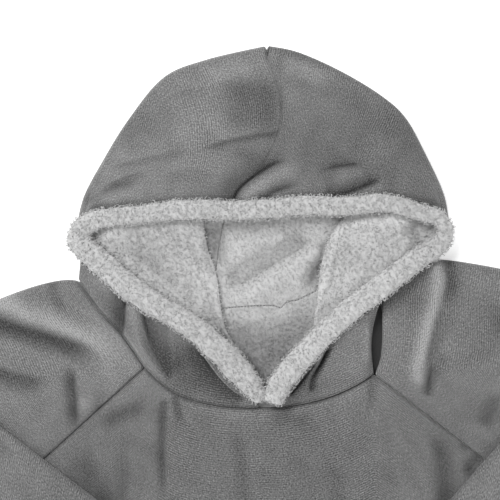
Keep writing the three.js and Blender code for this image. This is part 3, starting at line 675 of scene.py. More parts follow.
def curly_pile(name, brighter, bump_distance, level):
    """Curly polyester pile, like lambswool: matt, pale and cloudy, light passing through its locks, with shade painted
    darker in its folds, hollows and gaps and light painted paler where it stands high. level is how far its shading
    turns towards that of a level surface, as fine hairs' does."""

    def surface(add):
        colours = bpy.context.scene.hoodie_colours
        dark, plain, light = (
            [min(1, brighter * c) for c in colour] for colour in (colours.pile_dark_and_painted_shade, colours.pile, colours.pile_pale_and_painted_light)
        )
        place = add("ShaderNodeTexCoord", None, "Object")
        # Tufts 3 mm across, and clouds of tone 15 mm across
        tufts, clouds = noise(add, place, 330, 3), noise(add, place, 65, 2)
        # The tone from the cloth's attribute: shade painted in folds, hollows and gaps and light painted where the
        # pile stands high
        brushed_and_shaded = add("ShaderNodeAttribute", None, "Fac", attribute_name="nap_and_shade")
        tone = weighted(add, brushed_and_shaded, (tufts, 0.3), (clouds, 0.22))
        facing = add("ShaderNodeNewGeometry", None, "Normal")
        raised = add("ShaderNodeVectorMath", {0: facing, 1: (0, 0, level)}, operation="ADD")
        facing = add("ShaderNodeVectorMath", {0: raised}, operation="NORMALIZE")
        fluff = {"Height": tufts, "Strength": 0.4, "Distance": bump_distance, "Normal": facing}
        # The ramp runs down to a quarter of its dark colour for the deepest painted shade, in the gap by the right
        # sleeve
        return {
            "Base Color": ramp(add, tone, (0, [0.25 * c for c in dark]), (0.1, dark), (0.5, plain), (1, light)),
            "Roughness": 1,
            "Specular IOR Level": 0.1,
            "Subsurface Weight": 0.7,
            "Subsurface Radius": (1, 1, 1),
            "Subsurface Scale": 0.002,
            "Sheen Weight": 0.25,
            "Sheen Roughness": 0.6,
            "Normal": add("ShaderNodeBump", fluff),
        }

    return shader(name, surface)


def pile_backing():
    """The matted roots of the pile, seen down between its locks, painted a tenth paler than the locks as painted light
    against the shade between them.
    """
    return curly_pile("lambswool_pile_roots", 1.1, 0.002, 0.2)


def pile_locks():
    """The locks themselves."""
    return curly_pile("lambswool_pile_locks", 1, 0.0003, 1.2)


def sewing_thread():
    """Spun polyester sewing thread: matt, a shade darker than the fleece."""

    def surface(add):
        # Plies 0.5 mm apart
        plies = noise(add, add("ShaderNodeTexCoord", None, "Object"), 2000, 1)
        thread = bpy.context.scene.hoodie_colours.thread
        colour = ramp(add, plies, (0.2, [0.6 * c for c in thread]), (0.8, thread))
        return {"Base Color": colour, "Roughness": 0.75, "Sheen Weight": 0.2}

    return shader("spun_polyester_thread", surface)


def paper_sweep():
    """White matt paper, a little brighter than the light makes it, so that the floor shows white as in the photo."""
    white = (*linear("#ffffff"), 1)

    def surface(_):
        return {"Base Color": white, "Roughness": 0.95, "Emission Color": white, "Emission Strength": 0.4}

    return shader("matt_paper_sweep", surface)


def nap_and_painted_shade(x, y, folds, patches):
    """How pale the cloth is painted at places, 0.5 being plain: painted shade in troughs, painted light on ridges,
    patches of brushed nap and of painted shade and light, and a soft random unevenness.
    """
    shade = 0.5 + np.clip(PAINTED_FOLD_SHADE * folds, -0.42, 0.3)
    for (cx, cy), (half_x, half_y), turn, strength in patches:
        c, s = math.cos(math.radians(turn)), math.sin(math.radians(turn))
        u = ((x - cx) * c + (y - cy) * s) / half_x
        v = ((y - cy) * c - (x - cx) * s) / half_y
        shade += 0.25 * strength * np.exp(-(u**4) - v**4)
    return shade + 0.025 * rumple(x, y, 90, 11) + 0.015 * rumple(x, y, 35, 12)


def cloth(name, outer, inner, folds, outside, ring=False, shown=None, ribs_across=False, patches=NAP_AND_SHADE_PATCHES):
    """A closed wall between two like grids of points in millimetres, with a UV map in metres of cloth. folds is the
    height that creases add at each point, from which shade is painted darker in troughs and light paler on ridges, and
    shown where curls grow on the inner face. That face is pile backing.
    The knit's ribs run down the grid's columns, or across with ribs_across."""
    rows, cols = outer.shape[:2]
    steps = cols if ring else cols - 1
    k, edge = np.arange(rows - 1), np.arange(steps)
    i, j = (a.ravel() for a in np.meshgrid(k, edge, indexing="ij"))

    def quads(*corners):
        return np.stack([np.stack(np.broadcast_arrays(*corner), -1) for corner in corners], 1)

    r, c = rows - 1, cols - 1
    faces = [
        quads((0, i, j), (0, i, j + 1), (0, i + 1, j + 1), (0, i + 1, j)),
        quads((1, i, j), (1, i + 1, j), (1, i + 1, j + 1), (1, i, j + 1)),
        quads((0, 0, edge + 1), (0, 0, edge), (1, 0, edge), (1, 0, edge + 1)),
        quads((0, r, edge), (0, r, edge + 1), (1, r, edge + 1), (1, r, edge)),
    ]
    if not ring:
        faces.append(quads((0, k, 0), (0, k + 1, 0), (1, k + 1, 0), (1, k, 0)))
        faces.append(quads((0, k + 1, c), (0, k, c), (1, k, c), (1, k + 1, c)))
    corners = np.concatenate(faces)
    index = (corners[..., 0] * rows + corners[..., 1]) * cols + corners[..., 2] % cols
    points = np.concatenate([outer.reshape(-1, 3), inner.reshape(-1, 3)]) * MM
    a, b, d, e = (points[index[:, n]] for n in range(4))
    volume = (a * np.cross(b, d)).sum() + (a * np.cross(d, e)).sum()
    if volume < 0:
        index, corners = index[:, ::-1], corners[:, ::-1]

    mesh = bpy.data.meshes.new(name)
    mesh.from_pydata(points.tolist(), [], index.tolist())
    wrap = np.concatenate([outer, outer[:, :1]], 1) if ring else outer
    across = run_from(wrap, 1, 0)
    down = run_from(outer, 0, 0)[:, cols // 2]
    uv = np.stack([across, np.broadcast_to(down[:, None], across.shape)], -1) * MM
    if ribs_across:
        uv = uv[..., ::-1]
    loops = uv[corners[..., 1].ravel(), corners[..., 2].ravel()]
    mesh.uv_layers.new(name="cloth").data.foreach_set("uv", loops.astype(np.float32).ravel())
    mesh.polygons.foreach_set("use_smooth", np.arange(len(index)) < 2 * len(i))
    layer = np.concatenate([np.zeros(len(i), int), np.ones(len(i), int), np.zeros(len(index) - 2 * len(i), int)])
    mesh.materials.append(outside)
    mesh.materials.append(pile_backing())
    mesh.polygons.foreach_set("material_index", layer)
    both = np.concatenate([outer.reshape(-1, 3), inner.reshape(-1, 3)])
    # This attribute carries shade painted in troughs and light painted on ridges, with the patches of brushed nap and
    # of painted shade and light
    nap_and_shade = mesh.attributes.new("nap_and_shade", "FLOAT", "POINT")
    folded = np.tile(np.broadcast_to(folds, (rows, cols)).ravel(), 2)
    nap_and_shade.data.foreach_set("value", nap_and_painted_shade(both[:, 0], both[:, 1], folded, patches).astype(np.float32))
    if shown is not None:
        cover = np.concatenate([np.zeros(rows * cols), np.broadcast_to(shown, (rows, cols)).ravel()])
        mesh.attributes.new("cover", "FLOAT", "POINT").data.foreach_set("value", cover.astype(np.float32))
    mesh.validate()
    mesh.update()
    return new_piece(name, mesh)


def declare(piece, nodes, flat=None, area=None):
    """Puts a finished piece on the frame, in place of its nodes. Its cut, flat and area, is not used."""
    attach(piece, "root")
    if nodes:
        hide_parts(*nodes)


# Borders that turn in, as rounded takes them: seam and hem, and the body's two sides
SEAM = 2.8  # radius at which cloth turns into a sewn seam
TUBE_BORDERS = ((0, 0, SEAM, 0.5, 0.5), (0, 1, 2.5, 0.5, 0.5))
BODY_BORDERS = (*TUBE_BORDERS, (1, 0, 6, 1, 0), (1, 1, 6, 1, 0))


def nape_pucker(x):
    """The small pucker in the nape seam, right of its middle."""
    return -3.6 * np.exp(-(((x - 19) / np.where(x < 19, 4.5, 2.4)) ** 2)) + 1.6 * np.exp(-(((x - 28) / 5) ** 2))


def nape_seam():
    """The seam of the hood and the back, from left to right, with the back's neck corners at its ends."""
    left = along(RIBS_LEFT, mix(3 / 6, 1, spread(30)))["neck"]
    right = along(RIBS_RIGHT, mix(0, 5 / 7, spread(60)))["neck"]
    seam = np.concatenate([left, right]) - (0, 2 * SEAM_STEP)
    seam[:, 1] += nape_pucker(seam[:, 0])
    return seam


def body_grid(top, rows):
    """Columns from a top edge down to the hem, which they share out evenly."""
    x_share = (top[:, 0] - top[0, 0]) / (top[-1, 0] - top[0, 0])
    hem = np.stack([mix(-HEM_HALF, HEM_HALF, x_share), np.full(len(top), HEM_Y)], -1)
    place = mix(top[None], hem[None], rows[:, None, None])
    half = np.broadcast_to(mix(top[-1, 0], HEM_HALF, rows)[:, None], place.shape[:2])
    return place[..., 0], place[..., 1], half


def top_edge(left, seam, right, runs, step):
    """A panel's top edge from underarm to underarm: two raglan seams with the neck seam between them."""
    rise = mix(np.array(left), seam[0], marks(runs[0], step, last=False)[:, None])
    fall = mix(seam[-1], np.array(right), marks(runs[1], step, first=False)[:, None])
    return np.concatenate([rise[:-1], seam, fall[1:]])


def front_panel():
    neck = np.concatenate([along(SIDE_LEFT[5:], spread(56))["neck"], along(SIDE_RIGHT[:9], spread(56))["neck"]])
    neck = np.concatenate([neck[:, :2] - (0, SEAM_STEP), [(113, 214.4)]])
    top = top_edge((-349.8, 10.8), neck, (349.8, 33.8), (310, 298), 4.5)
    x, y, half = body_grid(top, marks(730, 9, start=(170, 2.6)))
    folds = relief(FRONT_CREASES, x, y)
    face = xyz(x, y, body_top(x, y, half, EDGE_TOP, folds))
    return *rounded(face, face - (0, 0, WALL), BODY_BORDERS), folds


def back_panel():
    x, y, _ = body_grid(top_edge((-349, 10), nape_seam(), (349, 33), (340, 340), 8), marks(830, 12))
    floor = xyz(x, y, 0)
    return *rounded(floor, floor + (0, 0, WALL), BODY_BORDERS), 0


def sleeve(cut):
    """A flattened tube from its seams out to the fold at the body's side, and back over the front to the cuff."""
    raglan = spread(12)[1:-1, None]
    fold_arm, fold_shoulder = np.array(cut["fold_arm"], float), np.array(cut["fold_shoulder"], float)
    cuff_arm, cuff_shoulder = np.array(cut["cuff_arm"], float), np.array(cut["cuff_shoulder"], float)
    outward = math.copysign(1, fold_arm[0])

    def seam(corners):
        start = np.array(cut["underarm"], float)
        return np.concatenate([[start], mix(start, np.array(corners[0]), raglan), corners, [cut["shoulder"]]])

    lines = ((seam(cut["front_seam"]), 1, marks(300, 3.2)), (seam(cut["back_seam"]), -1, marks(300, 5)))

    def arm(s, v, line):
        place = mix(on_line(line, v), mix(fold_arm, fold_shoulder, v[:, None]), s)
        x, y = place[:, 0], place[:, 1] + cut["arch"] * math.sqrt(s) * (1 - s) ** 1.2 * v**3
        folds = relief(ARM_CREASES, x, y)
        top = body_top(x, y, FOLD_HALF, 2 * TUBE_HALF, folds)
        return xyz(x, y, TUBE_HALF), (0, 0, 1), top - TUBE_HALF, TUBE_HALF, folds

    def turn(s, v, line):
        place = mix(fold_arm, fold_shoulder, v[:, None])
        out, up = math.sin(math.pi * s), math.cos(math.pi * s)
        radius = TUBE_HALF + SEAM_STEP
        x = place[:, 0] + outward * radius * out
        mid = xyz(x, place[:, 1], TUBE_HALF + radius * (1 - up))
        return mid, (-outward * out, 0, up), TUBE_HALF, TUBE_HALF, np.zeros_like(x)

    def forearm(s, v, line):
        place = mix(mix(fold_arm, cuff_arm, s), mix(fold_shoulder, cuff_shoulder, s), v[:, None])
        x, y = place[:, 0], place[:, 1]
        level = smooth_top(x, y, FOLD_HALF, 2 * TUBE_HALF) + 1 + TUBE_HALF
        puff = 3.5 * np.sin(math.pi * v) * ease(0, 0.15, s) * (1 + 0.4 * np.sin(9 * s + 4 * v))
        folds = relief(FOREARM_CREASES, np.abs(x), y) * ease(0, 0.08, np.minimum(v, 1 - v))
        fine = (0.6 * rumple(x, y, 45, 21) + 0.3 * rumple(x, y, 18, 22)) * ease(0, 0.1, s)
        return xyz(x, y, level), (0, 0, -1), TUBE_HALF, TUBE_HALF + puff + fine + folds, folds

    sections = [(arm, s) for s in marks(240, 3.4, last=False)]
    sections += [(turn, s) for s in spread(14)[1:-1]]
    sections += [(forearm, s) for s in marks(400, 6, first=False)]

    def ring(shape, s, inset):
        ends = [shape(s, np.array([v]), lines[0][0])[0][0] for v in (0.0, 1.0)]
        across = float(np.linalg.norm(ends[0] - ends[1]))
        into = (WALL + SEAM_STEP) / across if inset else 0
        sides = []
        for line, facing, shares in lines:
            mid, normal, near, far, folds = shape(s, mix(into, 1 - into, shares), line)
            edge = np.minimum(shares, 1 - shares) * across
            tight = np.sqrt(1 - (1 - np.clip(edge / EDGE_ROUND, 0, 1)) ** 2)
            height = ((near if facing > 0 else far) - (WALL if inset else 0)) * tight
            side = mid + np.array(normal) * facing * np.broadcast_to(height, shares.shape)[:, None]
            sides.append(np.concatenate([side, folds[:, None]], 1))
        return np.concatenate([sides[0], sides[1][-2:0:-1]])

    outer = np.array([ring(shape, s, False) for shape, s in sections])
    inner = np.array([ring(shape, s, True) for shape, s in sections])
    return *rounded(outer[..., :3], inner[..., :3], TUBE_BORDERS), outer[..., 3]


TOP_MARKS = marks(150, 1.8, last=False)
ARC_MARKS = spread(14)
UNDER_MARKS = marks(250, 2.2, first=False, start=(130, 6))
TUCK = 3  # how far the fleece's edge is tucked in under the band
EDGE_STITCH_MARK = 6  # which of TOP_MARKS the hood's edge is stitched at


def hood_face(rows, shares, seam, creased=True):
    """The hood's outer face, and the height that its creases add: ribs over the top, round the outline fold and back
    underneath to the neck."""
    rib = along(rows, shares)
    rim, fold, neck, lean = rib["rim"], rib["fold"], rib["neck"], rib["lean"][:, None]
    reach = np.linalg.norm(fold - rim[:, :2], axis=1)[:, None]
    inner = mix(fold, rim[:, :2], HOOD_FOLD / reach)
    a = TOP_MARKS[None]
    tuck = TUCK * (1 - ease(0, 5, a * reach))
    x = mix(rim[:, :1], inner[:, :1], a) + TOP_BOW * lean * np.sin(math.pi * a)
    y = mix(rim[:, 1:2], inner[:, 1:2], a)
    z = mix(2 * HOOD_FOLD, rim[:, 2:], 1 - a**2.2)
    folds = relief(HOOD_CREASES, x, y)
    if creased:
        fade = ease(0, 18, (1 - a) * reach)
        z = z + (folds + 0.6 * rumple(x, y, 44, 31) + 0.3 * rumple(x, y, 17, 32)) * fade
    way = (rim[:, :2] - inner) / np.linalg.norm(rim[:, :2] - inner, axis=1)[:, None]
    top = np.stack([x + tuck * way[:, :1], y + tuck * way[:, 1:], z - tuck * ease(19, 26, rim[:, 2:])], -1)
    turn = math.pi * ARC_MARKS[1:]
    arc = mix(inner[:, None], fold[:, None], np.sin(turn)[None, :, None])
    height = np.broadcast_to(HOOD_FOLD * (1 + np.cos(turn)), arc.shape[:2])
    arc = np.concatenate([arc, height[..., None]], -1)
    bend = (inner + neck) / 2 + lean * np.array(UNDER_BEND)
    b = UNDER_MARKS[None, 1:, None]
    under = mix(mix(inner[:, None], bend[:, None], b), mix(bend[:, None], neck[:, None], b), b)
    under[..., 1] += nape_pucker(under[..., 0]) * b[..., 0] ** 12
    under = np.concatenate([under, np.zeros((*under.shape[:2], 1))], -1)
    face = np.concatenate([top, arc, under], 1)
    # The outline is nipped in where the centre seam crosses it, and the two sides meet along the seam
    nip = np.exp(-(((face[..., 0] - 4.8) / 1.3) ** 2)) * ease(520, 545, face[..., 1])
    face[..., 1] -= 3.8 * nip
    face[seam, :, 0] += 0.28 if seam else -0.28
    folds = np.pad(folds, ((0, 0), (0, face.shape[1] - folds.shape[1])), mode="edge")
    if seam:
        # Painted sheen: the fleece is painted paler where the cloth turns away at the left outline
        folds[:, len(TOP_MARKS) : len(TOP_MARKS) + len(turn)] += 4 * np.sin(turn) ** 4
    return face, folds


def hood_side(rows, seam):
    """One side of the hood: its fleece and its lining, each as a wall, and where the lining shows."""
    shares = marks(190, 1.8)
    (face, folds), (plain, _) = hood_face(rows, shares, seam), hood_face(rows, shares, seam, creased=False)
    out = normals(plain, seam)
    edge = 1 if seam else 0
    seams = ((1, 0, 2, 0.5, 0.5), (1, 1, 1.6, 0.5, 0.5), (0, edge, 1.2, 0.12, 0.3), (0, 1 - edge, 2, 0.5, 0.5))
    fleece = *rounded(face, face - out * FLEECE, seams), folds
    under = len(TOP_MARKS) + len(ARC_MARKS) - 1
    x, y = face[:, under:, 0], face[:, under:, 1]
    floor = np.zeros(face.shape[:2])
    floor[:, under:] = np.maximum(relief(FLOOR_CREASES, x, y), -1.6)
    rise = floor.copy()
    rise[:, under:] += 0.5 * rumple(x, y, 26, 41)
    walls = rounded(face - out * (FLEECE + GAP), face - out * (FLOOR_TOP + rise[..., None]), seams)
    # The lining is painted darker in its troughs, as painted shade, and only a little paler on its ridges
    lining = *walls, np.where(floor < 0, 1.8, 0.15) * floor
    shown = np.zeros(face.shape[:2])
    shown[:, under:] = in_mouth(x, y)
    return fleece, lining, shown


def band_side(rows, shares):
    """Unit sideways directions along the band, to the right of the way it runs."""
    near = 0.004
    way = along(rows, shares + near)["at"] - along(rows, shares - near)["at"]
    length = np.hypot(way[:, 0], way[:, 1])
    return np.stack([way[:, 1] / length, -way[:, 0] / length, np.zeros(len(way))], -1)


def in_mouth(x, y):
    """1 where a place is inside the band's path seen from above, and 0 outside it and along the lining's seams."""
    left, right = along(BAND_LEFT, spread(40))["at"], along(BAND_RIGHT, spread(40))["at"]
    line = np.concatenate([left, right[::-1]])[:, :2]
    inside = np.zeros(x.shape, bool)
    for (x0, y0), (x1, y1) in zip(line, np.roll(line, -1, axis=0)):
        crosses = (y0 > y) != (y1 > y)
        at = x0 + (y - y0) * (x1 - x0) / (y1 - y0 if y1 != y0 else 1e-9)
        inside ^= crosses & (x < at)
    nape = nape_seam()
    clear = ease(0.3, 1.5, np.abs(y - np.interp(x, nape[:, 0], nape[:, 1])))
    centre = lining_seam()
    clear = clear * np.maximum(ease(0.3, 1.3, np.abs(x - np.interp(y, centre[::-1, 1], centre[::-1, 0]))), y < 282)
    return inside * clear


def lining_seam():
    """The centre seam of the hood's back, from the crown down to the nape."""
    row = RIBS_LEFT[-1]
    fold, neck = np.array(row["fold"], float), np.array(row["neck"], float)
    bend = (fold + neck) / 2 + UNDER_BEND
    b = spread(80)[:, None]
    return mix(mix(fold, bend, b), mix(bend, neck, b), b) + (0.3, 0)


BAND_LENGTH = 430  # each half of the band
JOIN_ROUND = 0.25  # length over which the band closes at its join, where the two halves meet flat
POINT_ROUND = 6  # and at the point of the neck


def band(rows, seed):
    """The pile band's roll: rings along its path, closing to a rounded end at both ends."""
    shares = marks(BAND_LENGTH, 2.4)
    path = along(rows, shares)
    side = band_side(rows, shares)
    turn = spread(40)[:-1] * TAU
    c, s = np.cos(turn), np.sin(turn)
    across = np.sign(c) * np.abs(c) ** 0.8 * path["half"][:, None]
    up = np.sign(s) * np.abs(s) ** 0.8 * RIM_HEIGHT / 2
    run = np.minimum(shares * BAND_LENGTH / JOIN_ROUND, (1 - shares) * BAND_LENGTH / POINT_ROUND)
    close = np.sqrt(1 - (1 - np.clip(run, 0.02, 1)) ** 2)[:, None]
    around, length = np.broadcast_arrays(12 * turn, BAND_LENGTH * shares[:, None])
    lump = 1 + 0.06 * rumple(length, around, 18, seed) + 0.06 * rumple(length, around, 9, seed + 1)
    offset = side[:, None] * (across * close * lump)[..., None]
    offset[..., 2] += up * close * lump
    skin = path["at"][:, None] + offset
    # Painted shade: the band's underside is painted a little darker than its top
    return mix(path["at"][:, None], skin, 0.65), skin, 0, ease(-0.75, 0.1, up / 6) * np.ones((len(shares), 1))


def lower_side(rows, band_rows, outward, length):
    """A lower side of the hood, from the neck seam up to the outside of the band."""
    row = along(rows, marks(length, 1.7))
    edge = along(band_rows, row["meet"])
    away = band_side(band_rows, row["meet"]) * outward * (edge["half"] + SEAM_STEP)[:, None]
    top = edge["at"] + away - (0, 0, 1)
    a = marks(80, 1.6)
    face = mix(row["neck"][:, None], top[:, None], a[None, :, None])
    sag = row["hang"][:, None] * np.sin(math.pi * a[None] ** 0.7)
    roll = 0.6 * row["roll"][:, None] * np.exp(-(((a[None] - 0.26) / 0.2) ** 2))
    fade = ease(0, 0.1, a) * ease(0, 0.12, 1 - a)
    x, y = face[..., 0], face[..., 1]
    folds = relief(SIDE_CREASES, x, y)
    bumps = (folds + 0.4 * rumple(x, y, 22, 51)) * fade
    face[..., 2] = np.maximum(face[..., 2] + roll - sag + bumps, np.minimum(13.2, face[..., 2]))
    if outward < 0:
        # The right side draws back from the sleeve, and leaves a gap down to the neck corner
        face[..., 0] -= 4.5 * ease(106, 114, x) * np.sin(math.pi * a[None])
    inner = face - (0, 0, FLEECE + 1)
    borders = ((1, 0, SEAM, 0.5, 0.5), (1, 1, 2, 0.5, 0.5), (0, 0, 2, 0.5, 0.5), (0, 1, 2, 0.5, 0.5))
    # Painted shade: the side is painted darker where it sags
    return *rounded(face, inner, borders), folds - 0.35 * sag


def lining_fold(rows, climb, seed):
    """A side wall of the lining, folded over on the hood's back. climb is the share of its width over which it rises
    out of the hollow at the band's corner."""
    row = {key: value[:, None] for key, value in along(rows, spread(80)).items()}
    u = np.concatenate([np.linspace(0, 0.78, 64), 0.78 + 0.22 * np.sin(np.linspace(0, math.pi / 2, 20)[1:])])[None]
    rise = mix(0.3, 1, ease(row["start"], row["start"] + climb, u))
    edge_height = 0.12
    drop = np.sqrt(1 - (1 - edge_height) * (np.clip(u - 0.8, 0, 1) / 0.2) ** 2)
    drop = drop * (1 - 0.3 * ease(0.3, 0.95, u))
    x = mix(row["outer"], row["edge"], u)
    y = np.broadcast_to(row["y"], x.shape)
    lumps = 0.7 * rumple(x, y, 30, seed) + 0.45 * rumple(x, y, 12, seed + 1)
    fade = ease(0, 0.12, 1 - u) * ease(0, 0.1, u)
    folds = relief(FOLD_CREASES, x, y)
    z = LAYER_BASE + (row["crown"] - LAYER_BASE) * rise * drop + (folds + lumps) * fade
    face, under = xyz(x, y, np.maximum(z, LAYER_BASE + 0.5)), xyz(x, y, LAYER_BASE)
    # Painted highlight: the pile is painted paler where the wall turns down at its edge
    return under, face, folds + 4.5 * ease(0.84, 0.97, u), in_mouth(x, y)


def neck_lining():
    """The body's lining where it shows inside the neck."""
    seam = nape_seam()
    seam = seam[(seam[:, 0] > -112) & (seam[:, 0] < 102)]
    foot = np.stack([np.clip(seam[:, 0], -104, 100), np.full(len(seam), 176.0)], -1)
    place = mix((seam - (0, SEAM_STEP))[:, None], foot[:, None], marks(125, 1.8)[None, :, None])
    x, y = place[..., 0], place[..., 1]
    shown = ease(46, 28, np.abs(x - 4))
    folds = relief(NECK_CREASES, x, y)
    z = WALL + FLEECE + (folds + 0.4 * rumple(x, y, 14, 61)) * shown
    walls = rounded(xyz(x, y, WALL + GAP), xyz(x, y, z), ((1, 0, 1.4, 0, 0.6),))
    # Painted shade in the neck's troughs, and faint painted light on its ridges
    return *walls, np.minimum(1.6 * folds, 0.4 * np.abs(folds)), in_mouth(x, y)


def new_tree(name, **sizes):
    """A Geometry Nodes tree with named inputs, a function that adds its nodes, and what its inputs give."""
    tree = bpy.data.node_groups.new(name, "GeometryNodeTree")
    new_socket = tree.interface.new_socket
    new_socket("Geometry", in_out="INPUT", socket_type="NodeSocketGeometry")
    for key, value in sizes.items():
        kind = "NodeSocketInt" if isinstance(value, int) else "NodeSocketFloat"
        new_socket(key, in_out="INPUT", socket_type=kind).default_value = value
    new_socket("Material", in_out="INPUT", socket_type="NodeSocketMaterial")
    new_socket("Geometry", in_out="OUTPUT", socket_type="NodeSocketGeometry")
    add = adder(tree)
    return tree, add, add("NodeGroupInput", out=None)


def end_tree(add, material, smooth, **placed):
    """Ends a tree in instances on points, made real and given their material."""
    stood = add("GeometryNodeInstanceOnPoints", placed)
    stood = add("GeometryNodeRealizeInstances", {"Geometry": stood})
    if smooth:
        stood = add("GeometryNodeSetShadeSmooth", {"Geometry": stood})
    stood = add("GeometryNodeSetMaterial", {"Geometry": stood, "Material": material})
    add("NodeGroupOutput", {"Geometry": stood}, None)


def curl_tree():
    """Geometry Nodes: curled locks of pile standing all over a surface, as densely as its cover attribute says."""
    sizes = bpy.context.scene.hoodie_sizes
    tree, add, given = new_tree(
        "pile_curls",
        Spacing=sizes.lock_spacing,
        Thickness=sizes.lock_thickness,
        Length=sizes.lock_length,
        Curl=sizes.lock_curl,
        Size=1.0,
        Seed=3,
    )
    thickness, seed = given["Thickness"], given["Seed"]
    cover = add("GeometryNodeInputNamedAttribute", {"Name": "cover"}, data_type="FLOAT")
    spaced = {"Mesh": given["Geometry"], "Distance Min": given["Spacing"], "Density Max": LOCKS_PER_M2,
              "Density Factor": cover, "Seed": seed}
    points = add("GeometryNodeDistributePointsOnFaces", spaced, None, distribute_method="POISSON")
    coil = {"Resolution": 5, "Rotations": 0.8, "Start Radius": given["Curl"], "End Radius": thickness,
            "Height": given["Length"]}
    share = add("GeometryNodeSplineParameter", None, "Factor")
    drawn = {
        "Curve": add("GeometryNodeCurveSpiral", coil),
        "Profile Curve": add(
            "GeometryNodeCurvePrimitiveCircle", {"Resolution": 3, "Radius": maths(add, "MULTIPLY", thickness, 0.5)}
        ),
        "Scale": add("ShaderNodeMapRange", {"Value": share, "To Min": 1.0, "To Max": 0.35}),
        "Fill Caps": True,
    }
    lock = add("GeometryNodeCurveToMesh", drawn)
    turns = {0: (math.radians(35), 0, 0), 1: (math.radians(95), 0.5, TAU), "Seed": seed}
    draw = add("FunctionNodeRandomValue", turns, data_type="FLOAT_VECTOR")
    spin = add("ShaderNodeSeparateXYZ", {0: draw}, None)
    turned = points["Rotation"]
    for axes in ("Z", "XY"):
        angle = add("ShaderNodeCombineXYZ", {axis: spin[axis] for axis in axes})
        step = {"Rotation": turned, "Rotate By": add("FunctionNodeEulerToRotation", {"Euler": angle})}
        turned = add("FunctionNodeRotateRotation", step, rotation_space="LOCAL")
    size = add("FunctionNodeRandomValue", {2: 0.7, 3: 1.3, "Seed": seed}, 1, data_type="FLOAT")
    size = maths(add, "MULTIPLY", size, given["Size"])
    end_tree(add, given["Material"], True, Points=points["Points"], Instance=lock, Rotation=turned, Scale=size)
    return tree


def stitch_tree():
    """Geometry Nodes: a row of stitches along a line, each a short rounded length of thread."""
    tree, add, given = new_tree("stitches", Pitch=3 * MM, Length=2 * MM, Thickness=0.6 * MM)
    line = add("GeometryNodeMeshToCurve", {"Mesh": given["Geometry"]})
    places = add("GeometryNodeCurveToPoints", {"Curve": line, "Length": given["Pitch"]}, None, mode="LENGTH")
    stitch = add("GeometryNodeMeshUVSphere", {"Segments": 6, "Rings": 5, "Radius": 0.5}, "Mesh")
    thickness = given["Thickness"]
    size = add("ShaderNodeCombineXYZ", {"X": thickness, "Y": thickness, "Z": given["Length"]})
    end_tree(add, given["Material"], False, Points=places["Points"], Instance=stitch, Rotation=places["Rotation"],
             Scale=size)
    return tree


def new_piece(name, mesh):
    piece = bpy.data.objects.new(name, mesh)
    bpy.context.scene.collection.objects.link(piece)
    return piece


def grown(name, base, tree, values):
    """The mesh that a Geometry Nodes tree makes on a piece, as a piece of its own."""
    carrier = new_piece(name, base.data)
    modifier = carrier.modifiers.new("grow", "NODES")
    modifier.node_group = tree
    sockets = {item.name: item.identifier for item in tree.interface.items_tree if item.in_out == "INPUT"}
    for key, value in values.items():
        modifier[sockets[key]] = value
    evaluated = carrier.evaluated_get(bpy.context.evaluated_depsgraph_get())
    mesh = bpy.data.meshes.new_from_object(evaluated)
    bpy.data.objects.remove(carrier)
    mesh.name = name
    return new_piece(name, mesh)


# The pile pieces that wait for their curls, by node: flat size, flat area, how they are held and the curls' size
PILE_PIECES = {}


def pile_piece(node, walls, shown, flat, area, size, held="folded", patches=PILE_SHADE_PATCHES, ring=False):
    """Builds a piece of pile. It is declared when its curls are grown on it."""
    cloth(f"{node}_pile", *walls, pile_backing(), ring=ring, shown=shown, patches=patches)
    PILE_PIECES[node] = (flat, area, held, size)


def seam_line(name, points):
    """A line of edges through points in millimetres, for stitches to follow."""
    mesh = bpy.data.meshes.new(name)
    mesh.from_pydata((np.array(points) * MM).tolist(), [(i, i + 1) for i in range(len(points) - 1)], [])
    return bpy.data.objects.new(name, mesh)


def length_property(name, description, millimetres):
    return bpy.props.FloatProperty(
        name=name, description=description, default=millimetres * MM, subtype="DISTANCE", unit="LENGTH"
    )


def colour_property(name, description, colour):
    return bpy.props.FloatVectorProperty(name=name, description=description, default=linear(colour), subtype="COLOR")


class HoodieSizes(bpy.types.PropertyGroup):
    lock_spacing: length_property("Lock Spacing", "Least distance between two locks of pile", 1.5)
    lock_thickness: length_property("Lock Thickness", "Thickness of a lock at its root", 1.3)
    lock_length: length_property("Lock Length", "Length of a lock along its coil", 2.6)
    lock_curl: length_property("Lock Curl", "Radius of a lock's curl at its root", 1.2)


class HoodieColours(bpy.types.PropertyGroup):
    fleece: colour_property("Fleece", "Fleece with its nap lying plain", "#6e6e6e")
    # The fleece's dark and light colours carry its nap's own tone and also painted shade in troughs and recesses and
    # painted light on ridges and at the outline
    fleece_dark_nap_and_painted_shade: colour_property("Fleece Dark", "Fleece brushed towards the viewer", "#353535")
    fleece_light_nap_and_painted_light: colour_property("Fleece Light", "Fleece brushed away from the viewer", "#a6a6a6")
    pile: colour_property("Pile", "Pile lying plain", "#b7b7b7")
    # The pile's dark and light colours are painted shade in folds, hollows and gaps and painted light where it stands
    # high
    pile_dark_and_painted_shade: colour_property("Pile Dark", "Pile deep in its folds", "#757575")
    pile_pale_and_painted_light: colour_property("Pile Light", "Pile where it stands high", "#cfcfcf")
    thread: colour_property("Thread", "Sewing thread", "#8c8c8c")


class HOODIE_OT_body(bpy.types.Operator):
    """Front and back panels, sewn at the sides and open at the hem"""

    bl_idname = "hoodie.body"
    bl_label = "Body Panels"

    def execute(self, context):
        fleece = brushed_fleece()
        front = cloth("front_panel", *front_panel(), fleece, ribs_across=True)
        declare(front, ["front"], flat=(0.77, 0.77), area=0.505)
        back = cloth("back_panel", *back_panel(), fleece, ribs_across=True, patches=PILE_SHADE_PATCHES)
        declare(back, ["back"], flat=(0.77, 0.865), area=0.548)
        return {"FINISHED"}


